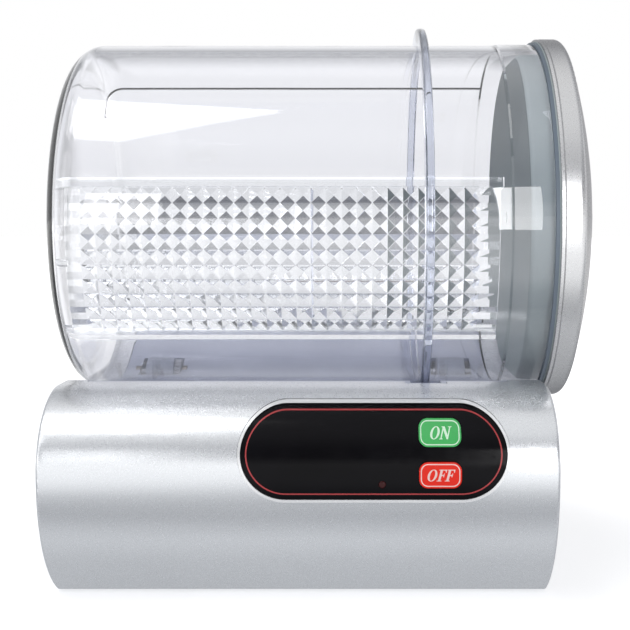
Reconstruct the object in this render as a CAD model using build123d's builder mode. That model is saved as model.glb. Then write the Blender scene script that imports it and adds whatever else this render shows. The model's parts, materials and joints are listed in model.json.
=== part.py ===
from build123d import *
from math import atan2, ceil, cos, degrees, pi, radians, sin, sqrt, tan
import os

os.makedirs("parts", exist_ok=True)

# Household vacuum tumbler. Millimetres, +Z up, the lid at +X, the control panel towards -Y.
# Origin: middle of the whole object's footprint, at the level of the feet.

# ---------------------------------------------------------------- driving dimensions
# drum, a clear jar lying on its side along X
drum_axis_height = 161.0      # above the table
drum_radius = 82.0
drum_wall = 2.8
drum_length = 214.0           # closed end to mouth
drum_end_round = 13.5         # outer corner radius of the closed end
mouth_band_length = 18.0      # thicker band at the mouth
mouth_band_rise = 0.5
rib_angle = 149.6             # rib inside the drum, from straight down towards the rear
rib_width = 1.6
rib_height = 1.0
rib_inner_radius = 60.0       # how far it runs down the closed end

# guide ring round the drum
ring_radius = 90.0
ring_width = 3.8
ring_from_mouth = 52.3        # mouth to the middle of the ring
ring_edge_round = 1.2

# lid
lid_radius = 85.0
lid_rim_length = 11.5
lid_rim_round = 3.0
lid_wall = 2.2
lid_dome_height = 13.0        # rim face to the flat crown
crown_radius = 16.0           # flat ring that a hand pump's cup sits on
plug_radius = 77.0
plug_depth = 9.8              # how far the plug reaches into the drum
plug_wall = 2.5
plug_corner_round = 2.5
flange_thickness = 2.0
gasket_thickness = 1.5

# release valve in the lid
knob_radius = 11.5
knob_thickness = 3.5
stem_radius = 2.5
valve_seal_radius = 7.5
valve_seal_thickness = 2.0
valve_collar_thickness = 1.5
seat_height = 1.5
vent_radius = 3.0             # hole in the plug under the seal
spring_coil_radius = 4.2
spring_wire_radius = 0.4
spring_pitch = 2.6

# kneading plate
plate_top_angle = 8.6         # above the horizontal, on the panel side
plate_bottom_angle = 40.0     # below the horizontal
plate_length = 181.7
plate_end_gap = 7.1           # closed end's inner face to the plate's left edge
plate_back_radius = 77.3
plate_web = 1.4
pyramid_pitch = 6.4
pyramid_height = 2.4
pyramid_rows = 10
left_strip = 5.8              # plain strips beside the pyramids
right_strip = 8.4
top_lip_thickness = 3.7
bottom_lip_thickness = 2.8
lip_depth = 6.4
lip_overhang = 1.5            # the top lip runs past the plate's right edge
tab_angle = 15.4              # below the horizontal
tab_thickness = 2.2
socket_wall = 1.5

# base
base_length = 210.2
belly_half_depth = 99.5
belly_height = 59.0
base_top_height = 88.6        # the land in front of the drum
base_rear_height = 94.6       # the land behind it
top_half_depth = 64.5         # where the round top edge meets the flat land
rear_half_depth = 68.0
floor_half_depth = 65.5
shell_wall = 2.6
end_wall = 2.8
base_edge_round = 1.5
drum_offset = 2.9             # how far the drum's closed end passes the base's left end

# cradle tray
cradle_gap = 6.5              # drum to tray
groove_gap = 2.8              # guide ring to the bottom of its groove
tray_wall = 2.6
tray_half_length = 91.9
tray_shift = -2.2             # tray and rollers, from the middle of the base
tray_front_drop = 0.4         # front edge under the base's front land
tray_rear_rise = 0.6          # rear edge over the base's rear land
tray_corner_round = 5.0       # top corners of the rear wall
tray_step_angle = 31.0        # above it the rear wall is set back a little
tray_step = 0.5
groove_width = 13.3
groove_wall = 2.2
tray_post_radius = 4.0
tray_post_from_end = 7.9
tray_post_y = 18.0

# rollers
roller_angle = 23.0           # from straight below the drum's axis
roller_radius = 10.0
roller_width = 14.0
roller_spacing = 148.0        # along X
tyre_thickness = 2.5
axle_radius = 2.5
cheek_thickness = 2.5
cheek_width = 15.0
cheek_reach = 6.5             # past the axle's centre
window_side_gap = 3.5         # between a roller's side and the cheek
window_end_gap = 0.9

# drive train
gear_module = 0.8
roller_gear_teeth = 20
pinion_teeth = 18
pressure_angle = 20.0
gear_backlash = 0.14
roller_gear_width = 2.8
pinion_width = 3.8
motor_radius = 18.5
motor_gearbox_length = 24.0
motor_can_radius = 17.0
motor_can_length = 31.0
motor_shaft_radius = 3.0
motor_shaft_offset = 7.0      # output shaft off the gearbox's middle
motor_boss_radius = 6.0
bracket_thickness = 2.0
bracket_width = 19.0
bracket_foot_length = 20.0
bracket_screw_spacing = 13.0

# control panel
panel_length = 107.0
panel_height = 36.8
panel_centre_x = 30.3         # from the middle of the base
panel_centre_z = 65.2
panel_thickness = 1.5
panel_proud = 0.25
bezel_width = 1.1
bezel_proud = 0.8
button_length = 17.0
button_height = 10.4
button_round = 3.6
button_centre_x = 56.9
on_button_z = 73.1
off_button_z = 56.8
button_proud = 0.7
button_gap = 0.25
button_travel = 1.0
button_flange = 1.2           # how far the flange reaches past the cap
led_radius = 1.5
led_x = 33.7
led_z = 53.0

# timer board and switches
board_setback = 23.1          # front of the belly to the board's rear face
board_thickness = 1.6
board_length = 100.0
board_bottom = 44.0
board_top = 78.0
switch_size = 6.0
switch_height = 5.0
plunger_radius = 1.7
plunger_height = 1.2
board_post_radius = 3.0
board_post_inset = 5.0        # from the board's ends
board_post_inset_z = 3.5
chip_length = 20.0
chip_thickness = 3.0
relay_length = 18.0
relay_height = 15.0
relay_depth = 14.0
capacitor_radius = 4.0
capacitor_length = 10.0

# bottom cover, feet and screws
foot_protrusion = 1.0
foot_radius = 7.0
foot_thickness = 3.0
foot_spacing_x = 170.0
foot_spacing_y = 76.0
cover_thickness = 3.0
ledge_reach = 15.0            # how far a ledge stands in over the cover
ledge_thickness = 2.6
ledge_length = 16.0
screw_radius = 1.5
screw_head_radius = 2.8
screw_head_height = 1.6
cover_screw_length = 8.0
post_screw_length = 12.0
bracket_screw_length = 4.2
small_screw_radius = 1.0      # board screws
small_head_radius = 2.2
small_head_height = 1.4
small_screw_length = 5.0
vent_slot_length = 26.0
vent_slot_width = 2.4
vent_slot_pitch = 6.0
vent_slot_count = 9

# power inlet at the back
inlet_x = 40.0
inlet_z = 30.0
inlet_setback = 13.5          # rear of the belly to the inlet's seat
inlet_flange_radius = 7.0
inlet_body_radius = 4.6
inlet_socket_radius = 2.75
inlet_pin_radius = 1.05
inlet_depth = 16.0
inlet_nut_width = 12.0        # across flats
inlet_nut_thickness = 3.0

# clearances
seat_gap = 0.05               # between round pieces of one body
running_gap = 0.05            # shaft in its bore, on the radius
roller_gap = 0.3              # drum to roller
lid_gap = 0.1                 # lid to drum
fit_gap = 0.2                 # panels, tray and trim in their openings
cut = 1.0                     # how far a cutting tool passes a face

# ---------------------------------------------------------------- places worked out from them
knob_reach = lid_gap + gasket_thickness + lid_rim_length + lid_dome_height + fit_gap + knob_thickness
cradle_radius = drum_radius + cradle_gap
groove_radius = ring_radius + groove_gap
left_end = -base_length / 2 - drum_offset
right_end = left_end + drum_length + knob_reach
base_mid = -(left_end + right_end) / 2

drum_left = base_mid + left_end
mouth_x = drum_left + drum_length
drum_bore = drum_radius - drum_wall
ring_x = mouth_x - ring_from_mouth

base_bottom = foot_protrusion
shell_round_radius = ((belly_half_depth - floor_half_depth) ** 2 + (belly_height - base_bottom) ** 2) / (
    2 * (belly_half_depth - floor_half_depth)
)
shell_round_y = belly_half_depth - shell_round_radius
board_y = board_setback - belly_half_depth
inlet_seat_y = belly_half_depth - inlet_setback
# the cover lies between the shell's walls at their narrowest
cover_half_depth = shell_round_y + sqrt(
    max((shell_round_radius - shell_wall) ** 2 - (belly_height - base_bottom) ** 2, 0)
) - fit_gap
ledge_half_gap = cover_half_depth - ledge_reach

tray_mid = base_mid + tray_shift
roller_distance = drum_radius + roller_gap + roller_radius
roller_places = {
    "rear_left": (tray_mid - roller_spacing / 2, roller_angle),
    "rear_right": (tray_mid + roller_spacing / 2, roller_angle),
    "front_left": (tray_mid - roller_spacing / 2, -roller_angle),
    "front_right": (tray_mid + roller_spacing / 2, -roller_angle),
}
drive_x, drive_angle = roller_places["rear_left"]
window_half = roller_width / 2 + window_side_gap
cheek_outer = window_half + cheek_thickness

gear_radius = gear_module * roller_gear_teeth / 2
pinion_radius = gear_module * pinion_teeth / 2
pinion_distance = roller_distance + gear_radius + pinion_radius
motor_distance = pinion_distance + motor_shaft_offset
gear_x = drive_x + roller_width / 2 + (window_side_gap - roller_gear_width) / 2
bracket_x = drive_x + cheek_outer + 0.4
motor_x = bracket_x + bracket_thickness

plug_face_x = mouth_x - plug_depth
gasket_x = mouth_x + lid_gap
flange_x = gasket_x + gasket_thickness
rim_face_x = flange_x + lid_rim_length
crown_x = rim_face_x + lid_dome_height
knob_x = crown_x + fit_gap
seal_x = plug_face_x + plug_wall + seat_height + seat_gap

plate_left = drum_left + drum_wall + plate_end_gap
plate_right = plate_left + plate_length
cover_top = base_bottom + cover_thickness

drum_axis = Axis((0, 0, drum_axis_height), (1, 0, 0))
turning_plane = Plane(origin=(0, 0, drum_axis_height), x_dir=(1, 0, 0), z_dir=(0, -1, 0))


def radial_plane(x, angle):
    """Plane across X: its local x points away from the drum's axis, angle from straight down."""
    turn = radians(angle)
    return Plane(origin=(x, 0, drum_axis_height), x_dir=(0, sin(turn), -cos(turn)), z_dir=(1, 0, 0))


def radial_point(x, distance, angle):
    turn = radians(angle)
    return (x, distance * sin(turn), drum_axis_height - distance * cos(turn))


def save(piece, node):
    piece.part.label = node
    export_step(piece.part, f"parts/{node}.step")


# ---------------------------------------------------------------- shared forms
def barrel(inset, half_length, bottom):
    """The base's outline, moved inwards by inset, as a solid along X."""
    arc_radius = shell_round_radius - inset
    floor_y = shell_round_y + sqrt(max(arc_radius**2 - (belly_height - bottom) ** 2, 0))
    belly_y = belly_half_depth - inset
    top_z = base_top_height - inset
    rear_z = base_rear_height - inset
    with BuildPart() as body:
        with BuildSketch(Plane.YZ.offset(base_mid)):
            with BuildLine():
                Line((-floor_y, bottom), (floor_y, bottom))
                TangentArc((belly_y, belly_height), (floor_y, bottom), tangent=(0, -1))
                EllipticalCenterArc(
                    (rear_half_depth, belly_height), belly_y - rear_half_depth, rear_z - belly_height, 0, arc_size=90
                )
                # the step between the lands lies where the trough is cut
                Polyline((rear_half_depth, rear_z), (rear_half_depth / 4, rear_z),
                         (-top_half_depth / 4, top_z), (-top_half_depth, top_z))
                EllipticalCenterArc(
                    (-top_half_depth, belly_height), belly_y - top_half_depth, top_z - belly_height, 90, arc_size=90
                )
                TangentArc((-belly_y, belly_height), (-floor_y, bottom), tangent=(0, -1))
            make_face()
        extrude(amount=half_length, both=True)
    return body.part


def drum_form(inset, length):
    """The drum's outside, moved inwards by inset, as a solid round the drum's axis."""
    radius = drum_radius - inset
    with BuildPart() as body:
        with BuildSketch(turning_plane):
            with Locations((drum_left + inset + length / 2, radius / 2)):
                Rectangle(length, radius)
        revolve(axis=drum_axis)
        corner = body.edges().filter_by(GeomType.CIRCLE).sort_by(Axis.X)[0]
        fillet(corner, max(drum_end_round - inset, 0.5))
    return body.part


def turned(points, angle=360):
    """A ring turned round the drum's axis from (x, radius) points."""
    with BuildPart() as body:
        with BuildSketch(turning_plane):
            with BuildLine():
                Polyline(*points, close=True)
            make_face()
        revolve(axis=drum_axis, revolution_arc=angle)
    return body.part


def slot_prism(length, height, x, z, y_from, y_to):
    """A stadium seen from the front, as a solid along Y."""
    with BuildPart() as body:
        with BuildSketch(Plane.XZ.offset(-y_from)):
            with Locations((x, z)):
                SlotOverall(length, height)
        extrude(amount=-(y_to - y_from))
    return body.part


def button_prism(grow, z, y_from, y_to):
    """A button's outline, grown all round, as a solid along Y."""
    with BuildPart() as body:
        with BuildSketch(Plane.XZ.offset(-y_from)):
            with Locations((base_mid + button_centre_x, z)):
                RectangleRounded(button_length + 2 * grow, button_height + 2 * grow, button_round + grow)
        extrude(amount=-(y_to - y_from))
    return body.part


def gear_outline(teeth):
    """Points of an involute gear, a tooth on the local x axis."""
    pitch_r = gear_module * teeth / 2
    base_r = pitch_r * cos(radians(pressure_angle))
    tip_r = pitch_r + 0.9 * gear_module
    root_r = pitch_r - 1.2 * gear_module
    half_tooth = (pi * gear_module / 2 - gear_backlash / 2) / pitch_r / 2
    involute_at_pitch = tan(radians(pressure_angle)) - radians(pressure_angle)
    flank = []
    steps = 4
    for step in range(steps + 1):
        r = max(base_r, root_r) + (tip_r - max(base_r, root_r)) * step / steps
        roll = sqrt(max((r / base_r) ** 2 - 1, 0))
        involute = roll - atan2(roll, 1)
        flank.append((r, half_tooth + involute_at_pitch - involute))
    points = []
    for tooth in range(teeth):
        middle = 2 * pi * tooth / teeth
        points.append((root_r, middle - flank[0][1]))
        points += [(r, middle - half) for r, half in flank]
        points += [(r, middle + half) for r, half in reversed(flank)]
        points.append((root_r, middle + flank[0][1]))
    return [(r * cos(turn), r * sin(turn)) for r, turn in points]


# ---------------------------------------------------------------- base shell
half_base = base_length / 2

with BuildPart() as base_shell:
    # both ends are rounded all the way round before the flat bottom is cut
    add(barrel(0, half_base, base_bottom - cut))
    end_edges = base_shell.edges().filter_by_position(Axis.X, base_mid + half_base, base_mid + half_base)
    end_edges += base_shell.edges().filter_by_position(Axis.X, base_mid - half_base, base_mid - half_base)
    fillet(end_edges, base_edge_round)
    with Locations((base_mid, 0, base_bottom - 10)):
        Box(2 * base_length, 4 * belly_half_depth, 20, mode=Mode.SUBTRACT)
    # the trough that the drum lies in
    add(turned([(base_mid - half_base - cut, 0), (base_mid + half_base + cut, 0),
                (base_mid + half_base + cut, cradle_radius), (base_mid - half_base - cut, cradle_radius)]),
        mode=Mode.SUBTRACT)

with BuildPart() as shell_cavity:
    add(barrel(shell_wall, half_base - end_wall, base_bottom - cut))
    add(turned([(base_mid - half_base, 0), (base_mid + half_base, 0),
                (base_mid + half_base, cradle_radius + tray_wall), (base_mid - half_base, cradle_radius + tray_wall)]),
        mode=Mode.SUBTRACT)

tray_left = tray_mid - tray_half_length
tray_right = tray_mid + tray_half_length


def tray_limits(grow):
    """What is kept of the tray's full turn: the rear wall stands higher and has round top corners."""
    front_top = base_top_height - tray_front_drop
    rear_top = base_rear_height + tray_rear_rise + grow
    with BuildPart() as body:
        with BuildSketch(Plane.XZ):
            with Locations((tray_mid, rear_top / 2)):
                RectangleRounded(2 * (tray_half_length + grow), rear_top, tray_corner_round)
            with Locations((tray_mid, rear_top / 4)):
                Rectangle(2 * (tray_half_length + grow), rear_top / 2)
        extrude(amount=-belly_half_depth)
        with Locations((tray_mid, -belly_half_depth / 2, front_top / 2)):
            Box(2 * (tray_half_length + grow), belly_half_depth, front_top + 20 * grow)
    return body.part


ledge_from_mid = (base_length - 2 * end_wall - ledge_length) / 2 - 6.3
ledge_places = [(x, y) for x in (-ledge_from_mid, 0.0, ledge_from_mid) for y in (-1, 1)]
ledge_screw_y = (ledge_half_gap + cover_half_depth) / 2

with BuildPart() as ledges:
    for x, side in ledge_places:
        with Locations((base_mid + x, side * (ledge_half_gap + ledge_reach), cover_top + ledge_thickness / 2)):
            Box(ledge_length, 2 * ledge_reach, ledge_thickness)
        with Locations((base_mid + x, side * ledge_screw_y, cover_top + ledge_thickness + 3)):
            Cylinder(3.4, 6)
    add(barrel(shell_wall / 2, half_base - end_wall / 2, base_bottom), mode=Mode.INTERSECT)
    with Locations(*[(base_mid + x, side * ledge_screw_y, cover_top) for x, side in ledge_places]):
        Hole(screw_radius + seat_gap)

board_centre_x = base_mid + panel_centre_x + 1.0
board_post_reach = board_length / 2 - board_post_inset
board_post_places = [(board_centre_x + side * board_post_reach, z)
                     for side in (-1, 1) for z in (board_bottom + board_post_inset_z, board_top - board_post_inset_z)]

with BuildPart() as board_posts:
    with BuildSketch(Plane.XZ.offset(-board_y + board_thickness)):
        with Locations(*board_post_places):
            Circle(board_post_radius)
    extrude(amount=belly_half_depth + board_y)
    add(barrel(shell_wall / 2, half_base, base_bottom), mode=Mode.INTERSECT)
    with BuildSketch(Plane.XZ.offset(-board_y + board_thickness)):
        with Locations(*board_post_places):
            Circle(small_screw_radius + seat_gap)
    extrude(amount=small_screw_length + cut, mode=Mode.SUBTRACT)

with BuildPart() as inlet_boss:
    with BuildSketch(Plane.XZ.offset(-inlet_seat_y + 5)):
        with Locations((base_mid + inlet_x, inlet_z)):
            Circle(inlet_flange_radius + 4)
    extrude(amount=-20)
    add(barrel(shell_wall / 2, half_base, base_bottom), mode=Mode.INTERSECT)

with BuildPart() as inlet_cut:
    with BuildSketch(Plane.XZ.offset(-inlet_seat_y)):
        with Locations((base_mid + inlet_x, inlet_z)):
            Circle(inlet_flange_radius + 0.6)
    extrude(amount=-20)
    with BuildSketch(Plane.XZ.offset(-inlet_seat_y + 8)):
        with Locations((base_mid + inlet_x, inlet_z)):
            Circle(inlet_body_radius + fit_gap)
    extrude(amount=-10)

panel_x = base_mid + panel_centre_x
panel_front = -belly_half_depth - 3
panel_back = board_y + 6.4

with BuildPart() as panel_pocket:
    add(slot_prism(panel_length + 2 * bezel_width + 2 * fit_gap, panel_height + 2 * bezel_width + 2 * fit_gap,
                   panel_x, panel_centre_z, panel_front, panel_back))
    add(barrel(panel_thickness - panel_proud, half_base, base_bottom), mode=Mode.SUBTRACT)

# opening for the tray, between the two end lands
inner_cut = cradle_radius * 0.7
with BuildPart() as tray_opening:
    add(turned([(tray_left - fit_gap, inner_cut), (tray_right + fit_gap, inner_cut),
                (tray_right + fit_gap, cradle_radius + tray_wall + fit_gap),
                (tray_left - fit_gap, cradle_radius + tray_wall + fit_gap)]))
    add(turned([(ring_x - groove_width / 2 - groove_wall - fit_gap, inner_cut),
                (ring_x + groove_width / 2 + groove_wall + fit_gap, inner_cut),
                (ring_x + groove_width / 2 + groove_wall + fit_gap, groove_radius + tray_wall + fit_gap),
                (ring_x - groove_width / 2 - groove_wall - fit_gap, groove_radius + tray_wall + fit_gap)]))
    add(tray_limits(fit_gap), mode=Mode.INTERSECT)

with BuildPart() as base_shell_done:
    add(base_shell.part)
    add(shell_cavity.part, mode=Mode.SUBTRACT)
    add(tray_opening.part, mode=Mode.SUBTRACT)
    add(ledges.part)
    add(board_posts.part)
    add(inlet_boss.part)
    add(inlet_cut.part, mode=Mode.SUBTRACT)
    add(panel_pocket.part, mode=Mode.SUBTRACT)
    for z in (on_button_z, off_button_z):
        add(button_prism(button_gap, z, panel_front, panel_back), mode=Mode.SUBTRACT)
    with Locations(Location((base_mid + led_x, (panel_front + panel_back) / 2, led_z), (90, 0, 0))):
        Cylinder(led_radius + fit_gap, panel_back - panel_front, mode=Mode.SUBTRACT)
save(base_shell_done, "base_shell")

# ---------------------------------------------------------------- cradle tray
groove_left = ring_x - groove_width / 2
groove_right = ring_x + groove_width / 2
tray_outer = cradle_radius + tray_wall
groove_outer = groove_radius + tray_wall

_, step_y, step_z = radial_point(0, cradle_radius, tray_step_angle)
post_length = drum_axis_height - sqrt(tray_outer**2 - tray_post_y**2) - cover_top + tray_wall / 2

with BuildPart() as rear_set_back:
    add(turned([(tray_left - cut, inner_cut), (tray_right + cut, inner_cut),
                (tray_right + cut, cradle_radius + tray_step), (tray_left - cut, cradle_radius + tray_step)]))
    with Locations((tray_mid, belly_half_depth / 2, step_z + 50)):
        Box(2 * base_length, belly_half_depth, 100, mode=Mode.INTERSECT)

with BuildPart() as cradle_tray:
    add(turned([
        (tray_left, cradle_radius), (groove_left, cradle_radius), (groove_left, groove_radius),
        (groove_right, groove_radius), (groove_right, cradle_radius), (tray_right, cradle_radius),
        (tray_right, tray_outer), (groove_right + groove_wall, tray_outer),
        (groove_right + groove_wall, groove_outer), (groove_left - groove_wall, groove_outer),
        (groove_left - groove_wall, tray_outer), (tray_left, tray_outer),
    ]))
    add(tray_limits(0), mode=Mode.INTERSECT)
    add(rear_set_back.part, mode=Mode.SUBTRACT)
    # cheeks that carry the axles, under the tray
    for x, angle in roller_places.values():
        for side in (-1, 1):
            start = x + side * window_half + (-cheek_thickness if side < 0 else 0)
            with BuildSketch(radial_plane(start, angle)):
                with Locations(((roller_distance + cheek_reach + cradle_radius + 1) / 2, 0)):
                    RectangleRounded(roller_distance + cheek_reach - cradle_radius - 1, cheek_width, 1.2)
            extrude(amount=cheek_thickness)
    # posts down to the bottom cover
    post_reach = tray_half_length - tray_post_from_end
    post_places = [(tray_mid + x, y) for x in (-post_reach, 0.0, post_reach) for y in (-tray_post_y, tray_post_y)]
    with BuildSketch(Plane.XY.offset(cover_top)):
        with Locations(*post_places):
            Circle(tray_post_radius)
    extrude(amount=post_length)
    with BuildSketch(Plane.XY.offset(cover_top)):
        with Locations(*post_places):
            Circle(screw_radius + seat_gap)
    extrude(amount=post_screw_length, mode=Mode.SUBTRACT)
    # windows for the rollers and holes for the axles
    for x, angle in roller_places.values():
        with BuildSketch(radial_plane(x - window_half, angle)):
            with Locations((roller_distance, 0)):
                Rectangle(16, 2 * (roller_radius + window_end_gap))
        extrude(amount=2 * window_half, mode=Mode.SUBTRACT)
        hole = axle_radius + seat_gap
        if (x, angle) == (drive_x, drive_angle):
            hole = axle_radius + running_gap + 2 + seat_gap
        with BuildSketch(radial_plane(x - cheek_outer - 0.1, angle)):
            with Locations((roller_distance, 0)):
                Circle(hole)
        extrude(amount=2 * cheek_outer + 0.2, mode=Mode.SUBTRACT)
save(cradle_tray, "cradle_tray")

# ---------------------------------------------------------------- bottom cover, feet and screws
foot_places = [(base_mid + sx * foot_spacing_x / 2, sy * foot_spacing_y / 2) for sx in (-1, 1) for sy in (-1, 1)]
ledge_screw_places = [(base_mid + x, side * ledge_screw_y) for x, side in ledge_places]
_, motor_y, motor_z = radial_point(0, motor_distance, drive_angle)
bracket_screw_places = [(bracket_x + 0.6 * bracket_foot_length, motor_y + side * bracket_screw_spacing / 2)
                        for side in (-1, 1)]
head_recess = screw_head_height + 0.2

with BuildPart() as bottom_cover:
    with BuildSketch(Plane.XY.offset(base_bottom)):
        with Locations((base_mid, 0)):
            Rectangle(base_length - 2 * end_wall - 2 * fit_gap, 2 * cover_half_depth)
    extrude(amount=cover_thickness)
    fillet(bottom_cover.edges().filter_by(Axis.Z), 3)
    with Locations(*[(x, y, base_bottom) for x, y in foot_places]):
        Cylinder(foot_radius + fit_gap, 2 * (foot_thickness - foot_protrusion), mode=Mode.SUBTRACT)
    with BuildSketch(Plane.XY.offset(base_bottom)):
        with Locations(*(ledge_screw_places + post_places)):
            Circle(screw_head_radius + fit_gap)
    extrude(amount=head_recess, mode=Mode.SUBTRACT)
    with BuildSketch(Plane.XY.offset(base_bottom)):
        with Locations(*(ledge_screw_places + post_places + bracket_screw_places)):
            Circle(screw_radius + seat_gap)
    extrude(amount=cover_thickness, mode=Mode.SUBTRACT)
    # air slots under the motor
    with BuildSketch(Plane.XY.offset(base_bottom)):
        with Locations((motor_x + motor_gearbox_length, 0)):
            with GridLocations(vent_slot_pitch, 1, vent_slot_count, 1):
                SlotOverall(vent_slot_length, vent_slot_width, rotation=90)
    extrude(amount=cover_thickness, mode=Mode.SUBTRACT)
save(bottom_cover, "bottom_cover")

with BuildPart() as rubber_feet:
    with BuildSketch():
        with Locations(*foot_places):
            Circle(foot_radius)
    extrude(amount=foot_thickness)
    fillet(rubber_feet.edges().group_by(Axis.Z)[0], 0.8)
save(rubber_feet, "rubber_feet")


def screw(length):
    """A pan-head screw standing on its head at the origin."""
    with BuildPart() as body:
        with BuildSketch():
            Circle(screw_head_radius)
        extrude(amount=screw_head_height)
        fillet(body.edges().group_by(Axis.Z)[0], 0.5)
        with BuildSketch(Plane.XY.offset(screw_head_height)):
            Circle(screw_radius)
        extrude(amount=length)
        with BuildSketch():
            RectangleRounded(2.6, 0.6, 0.2)
            RectangleRounded(0.6, 2.6, 0.2)
        extrude(amount=0.8, mode=Mode.SUBTRACT)
    return body.part


with BuildPart() as cover_screws:
    with Locations(*[(x, y, base_bottom + 0.2) for x, y in ledge_screw_places]):
        add(screw(cover_screw_length))
    with Locations(*[(x, y, base_bottom + 0.2) for x, y in post_places]):
        add(screw(post_screw_length))
save(cover_screws, "cover_screws")

# ---------------------------------------------------------------- control panel
with BuildPart() as panel_bezel:
    add(slot_prism(panel_length + 2 * bezel_width, panel_height + 2 * bezel_width,
                   panel_x, panel_centre_z, panel_front, panel_back))
    add(slot_prism(panel_length, panel_height, panel_x, panel_centre_z, panel_front, panel_back), mode=Mode.SUBTRACT)
    add(barrel(-bezel_proud, half_base, base_bottom), mode=Mode.INTERSECT)
    add(barrel(panel_thickness - panel_proud, half_base, base_bottom), mode=Mode.SUBTRACT)
save(panel_bezel, "panel_bezel")

with BuildPart() as control_panel:
    add(slot_prism(panel_length - fit_gap, panel_height - fit_gap, panel_x, panel_centre_z, panel_front, panel_back))
    add(barrel(-panel_proud, half_base, base_bottom), mode=Mode.INTERSECT)
    add(barrel(panel_thickness - panel_proud, half_base, base_bottom), mode=Mode.SUBTRACT)
    for z in (on_button_z, off_button_z):
        add(button_prism(button_gap, z, panel_front, panel_back), mode=Mode.SUBTRACT)
    with Locations(Location((base_mid + led_x, (panel_front + panel_back) / 2, led_z), (90, 0, 0))):
        Cylinder(led_radius + seat_gap, panel_back - panel_front, mode=Mode.SUBTRACT)
save(control_panel, "control_panel")

board_front = board_y - board_thickness
switch_front = board_front - switch_height
plunger_front = switch_front - plunger_height
stem_back = plunger_front - 0.05
flange_depth = shell_wall + 0.1

for node, z in (("on_button", on_button_z), ("off_button", off_button_z)):
    with BuildPart() as button_cap:
        add(button_prism(0, z, panel_front, panel_back))
        add(barrel(-button_proud, half_base, base_bottom), mode=Mode.INTERSECT)
        add(barrel(flange_depth + 1.0, half_base, base_bottom), mode=Mode.SUBTRACT)
    with BuildPart() as button_stop:
        add(button_prism(button_flange, z, panel_front, panel_back))
        add(barrel(flange_depth, half_base, base_bottom), mode=Mode.INTERSECT)
        add(barrel(flange_depth + 1.0, half_base, base_bottom), mode=Mode.SUBTRACT)
    with BuildPart() as button_stem:
        with BuildSketch(Plane.XZ.offset(-stem_back)):
            with Locations((base_mid + button_centre_x, z)):
                Circle(plunger_radius + 0.4)
        extrude(amount=belly_half_depth + stem_back)
        add(barrel(flange_depth + 0.5, half_base, base_bottom), mode=Mode.INTERSECT)
    with BuildPart() as button:
        add(button_cap.part)
        add(button_stop.part)
        add(button_stem.part)
    save(button, node)

with BuildPart() as status_led:
    with BuildSketch(Plane.XZ.offset(-board_front)):
        with Locations((base_mid + led_x, led_z)):
            Circle(led_radius)
    extrude(amount=belly_half_depth + panel_proud + board_front)
    fillet(status_led.edges().sort_by(Axis.Y)[0], 0.6)
save(status_led, "status_led")

board_middle_z = (board_top + board_bottom) / 2
with BuildPart() as timer_board:
    with BuildSketch(Plane.XZ.offset(-board_y)):
        with Locations((board_centre_x, board_middle_z)):
            RectangleRounded(board_length, board_top - board_bottom, 2)
        with Locations(*board_post_places):
            Circle(small_screw_radius + seat_gap, mode=Mode.SUBTRACT)
    extrude(amount=board_thickness)
    # parts on the board's rear side: timer chip, relay and capacitor
    with BuildSketch(Plane.XZ.offset(-board_y)):
        with Locations((board_centre_x - 0.9 * chip_length, board_middle_z)):
            Rectangle(chip_length, 0.4 * chip_length)
    extrude(amount=-chip_thickness)
    with BuildSketch(Plane.XZ.offset(-board_y)):
        with Locations((board_centre_x + 0.55 * relay_length, board_middle_z)):
            Rectangle(relay_length, relay_height)
    extrude(amount=-relay_depth)
    with BuildSketch(Plane.XZ.offset(-board_y)):
        with Locations((board_centre_x - 2 * chip_length + 0.5 * capacitor_radius, board_middle_z - capacitor_radius)):
            Circle(capacitor_radius)
    extrude(amount=-capacitor_length)
save(timer_board, "timer_board")

with BuildPart() as board_screws:
    with BuildSketch(Plane.XZ.offset(-board_y)):
        with Locations(*board_post_places):
            Circle(small_head_radius)
    extrude(amount=-small_head_height)
    with BuildSketch(Plane.XZ.offset(-board_y)):
        with Locations(*board_post_places):
            Circle(small_screw_radius)
    extrude(amount=board_thickness + small_screw_length)
save(board_screws, "board_screws")

with BuildPart() as tact_switches:
    for z in (on_button_z, off_button_z):
        with BuildSketch(Plane.XZ.offset(-board_front)):
            with Locations((base_mid + button_centre_x, z)):
                RectangleRounded(switch_size, switch_size, 0.6)
        extrude(amount=switch_height)
        with BuildSketch(Plane.XZ.offset(-switch_front)):
            with Locations((base_mid + button_centre_x, z)):
                Circle(plunger_radius)
        extrude(amount=plunger_height - button_travel)
save(tact_switches, "tact_switches")

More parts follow.
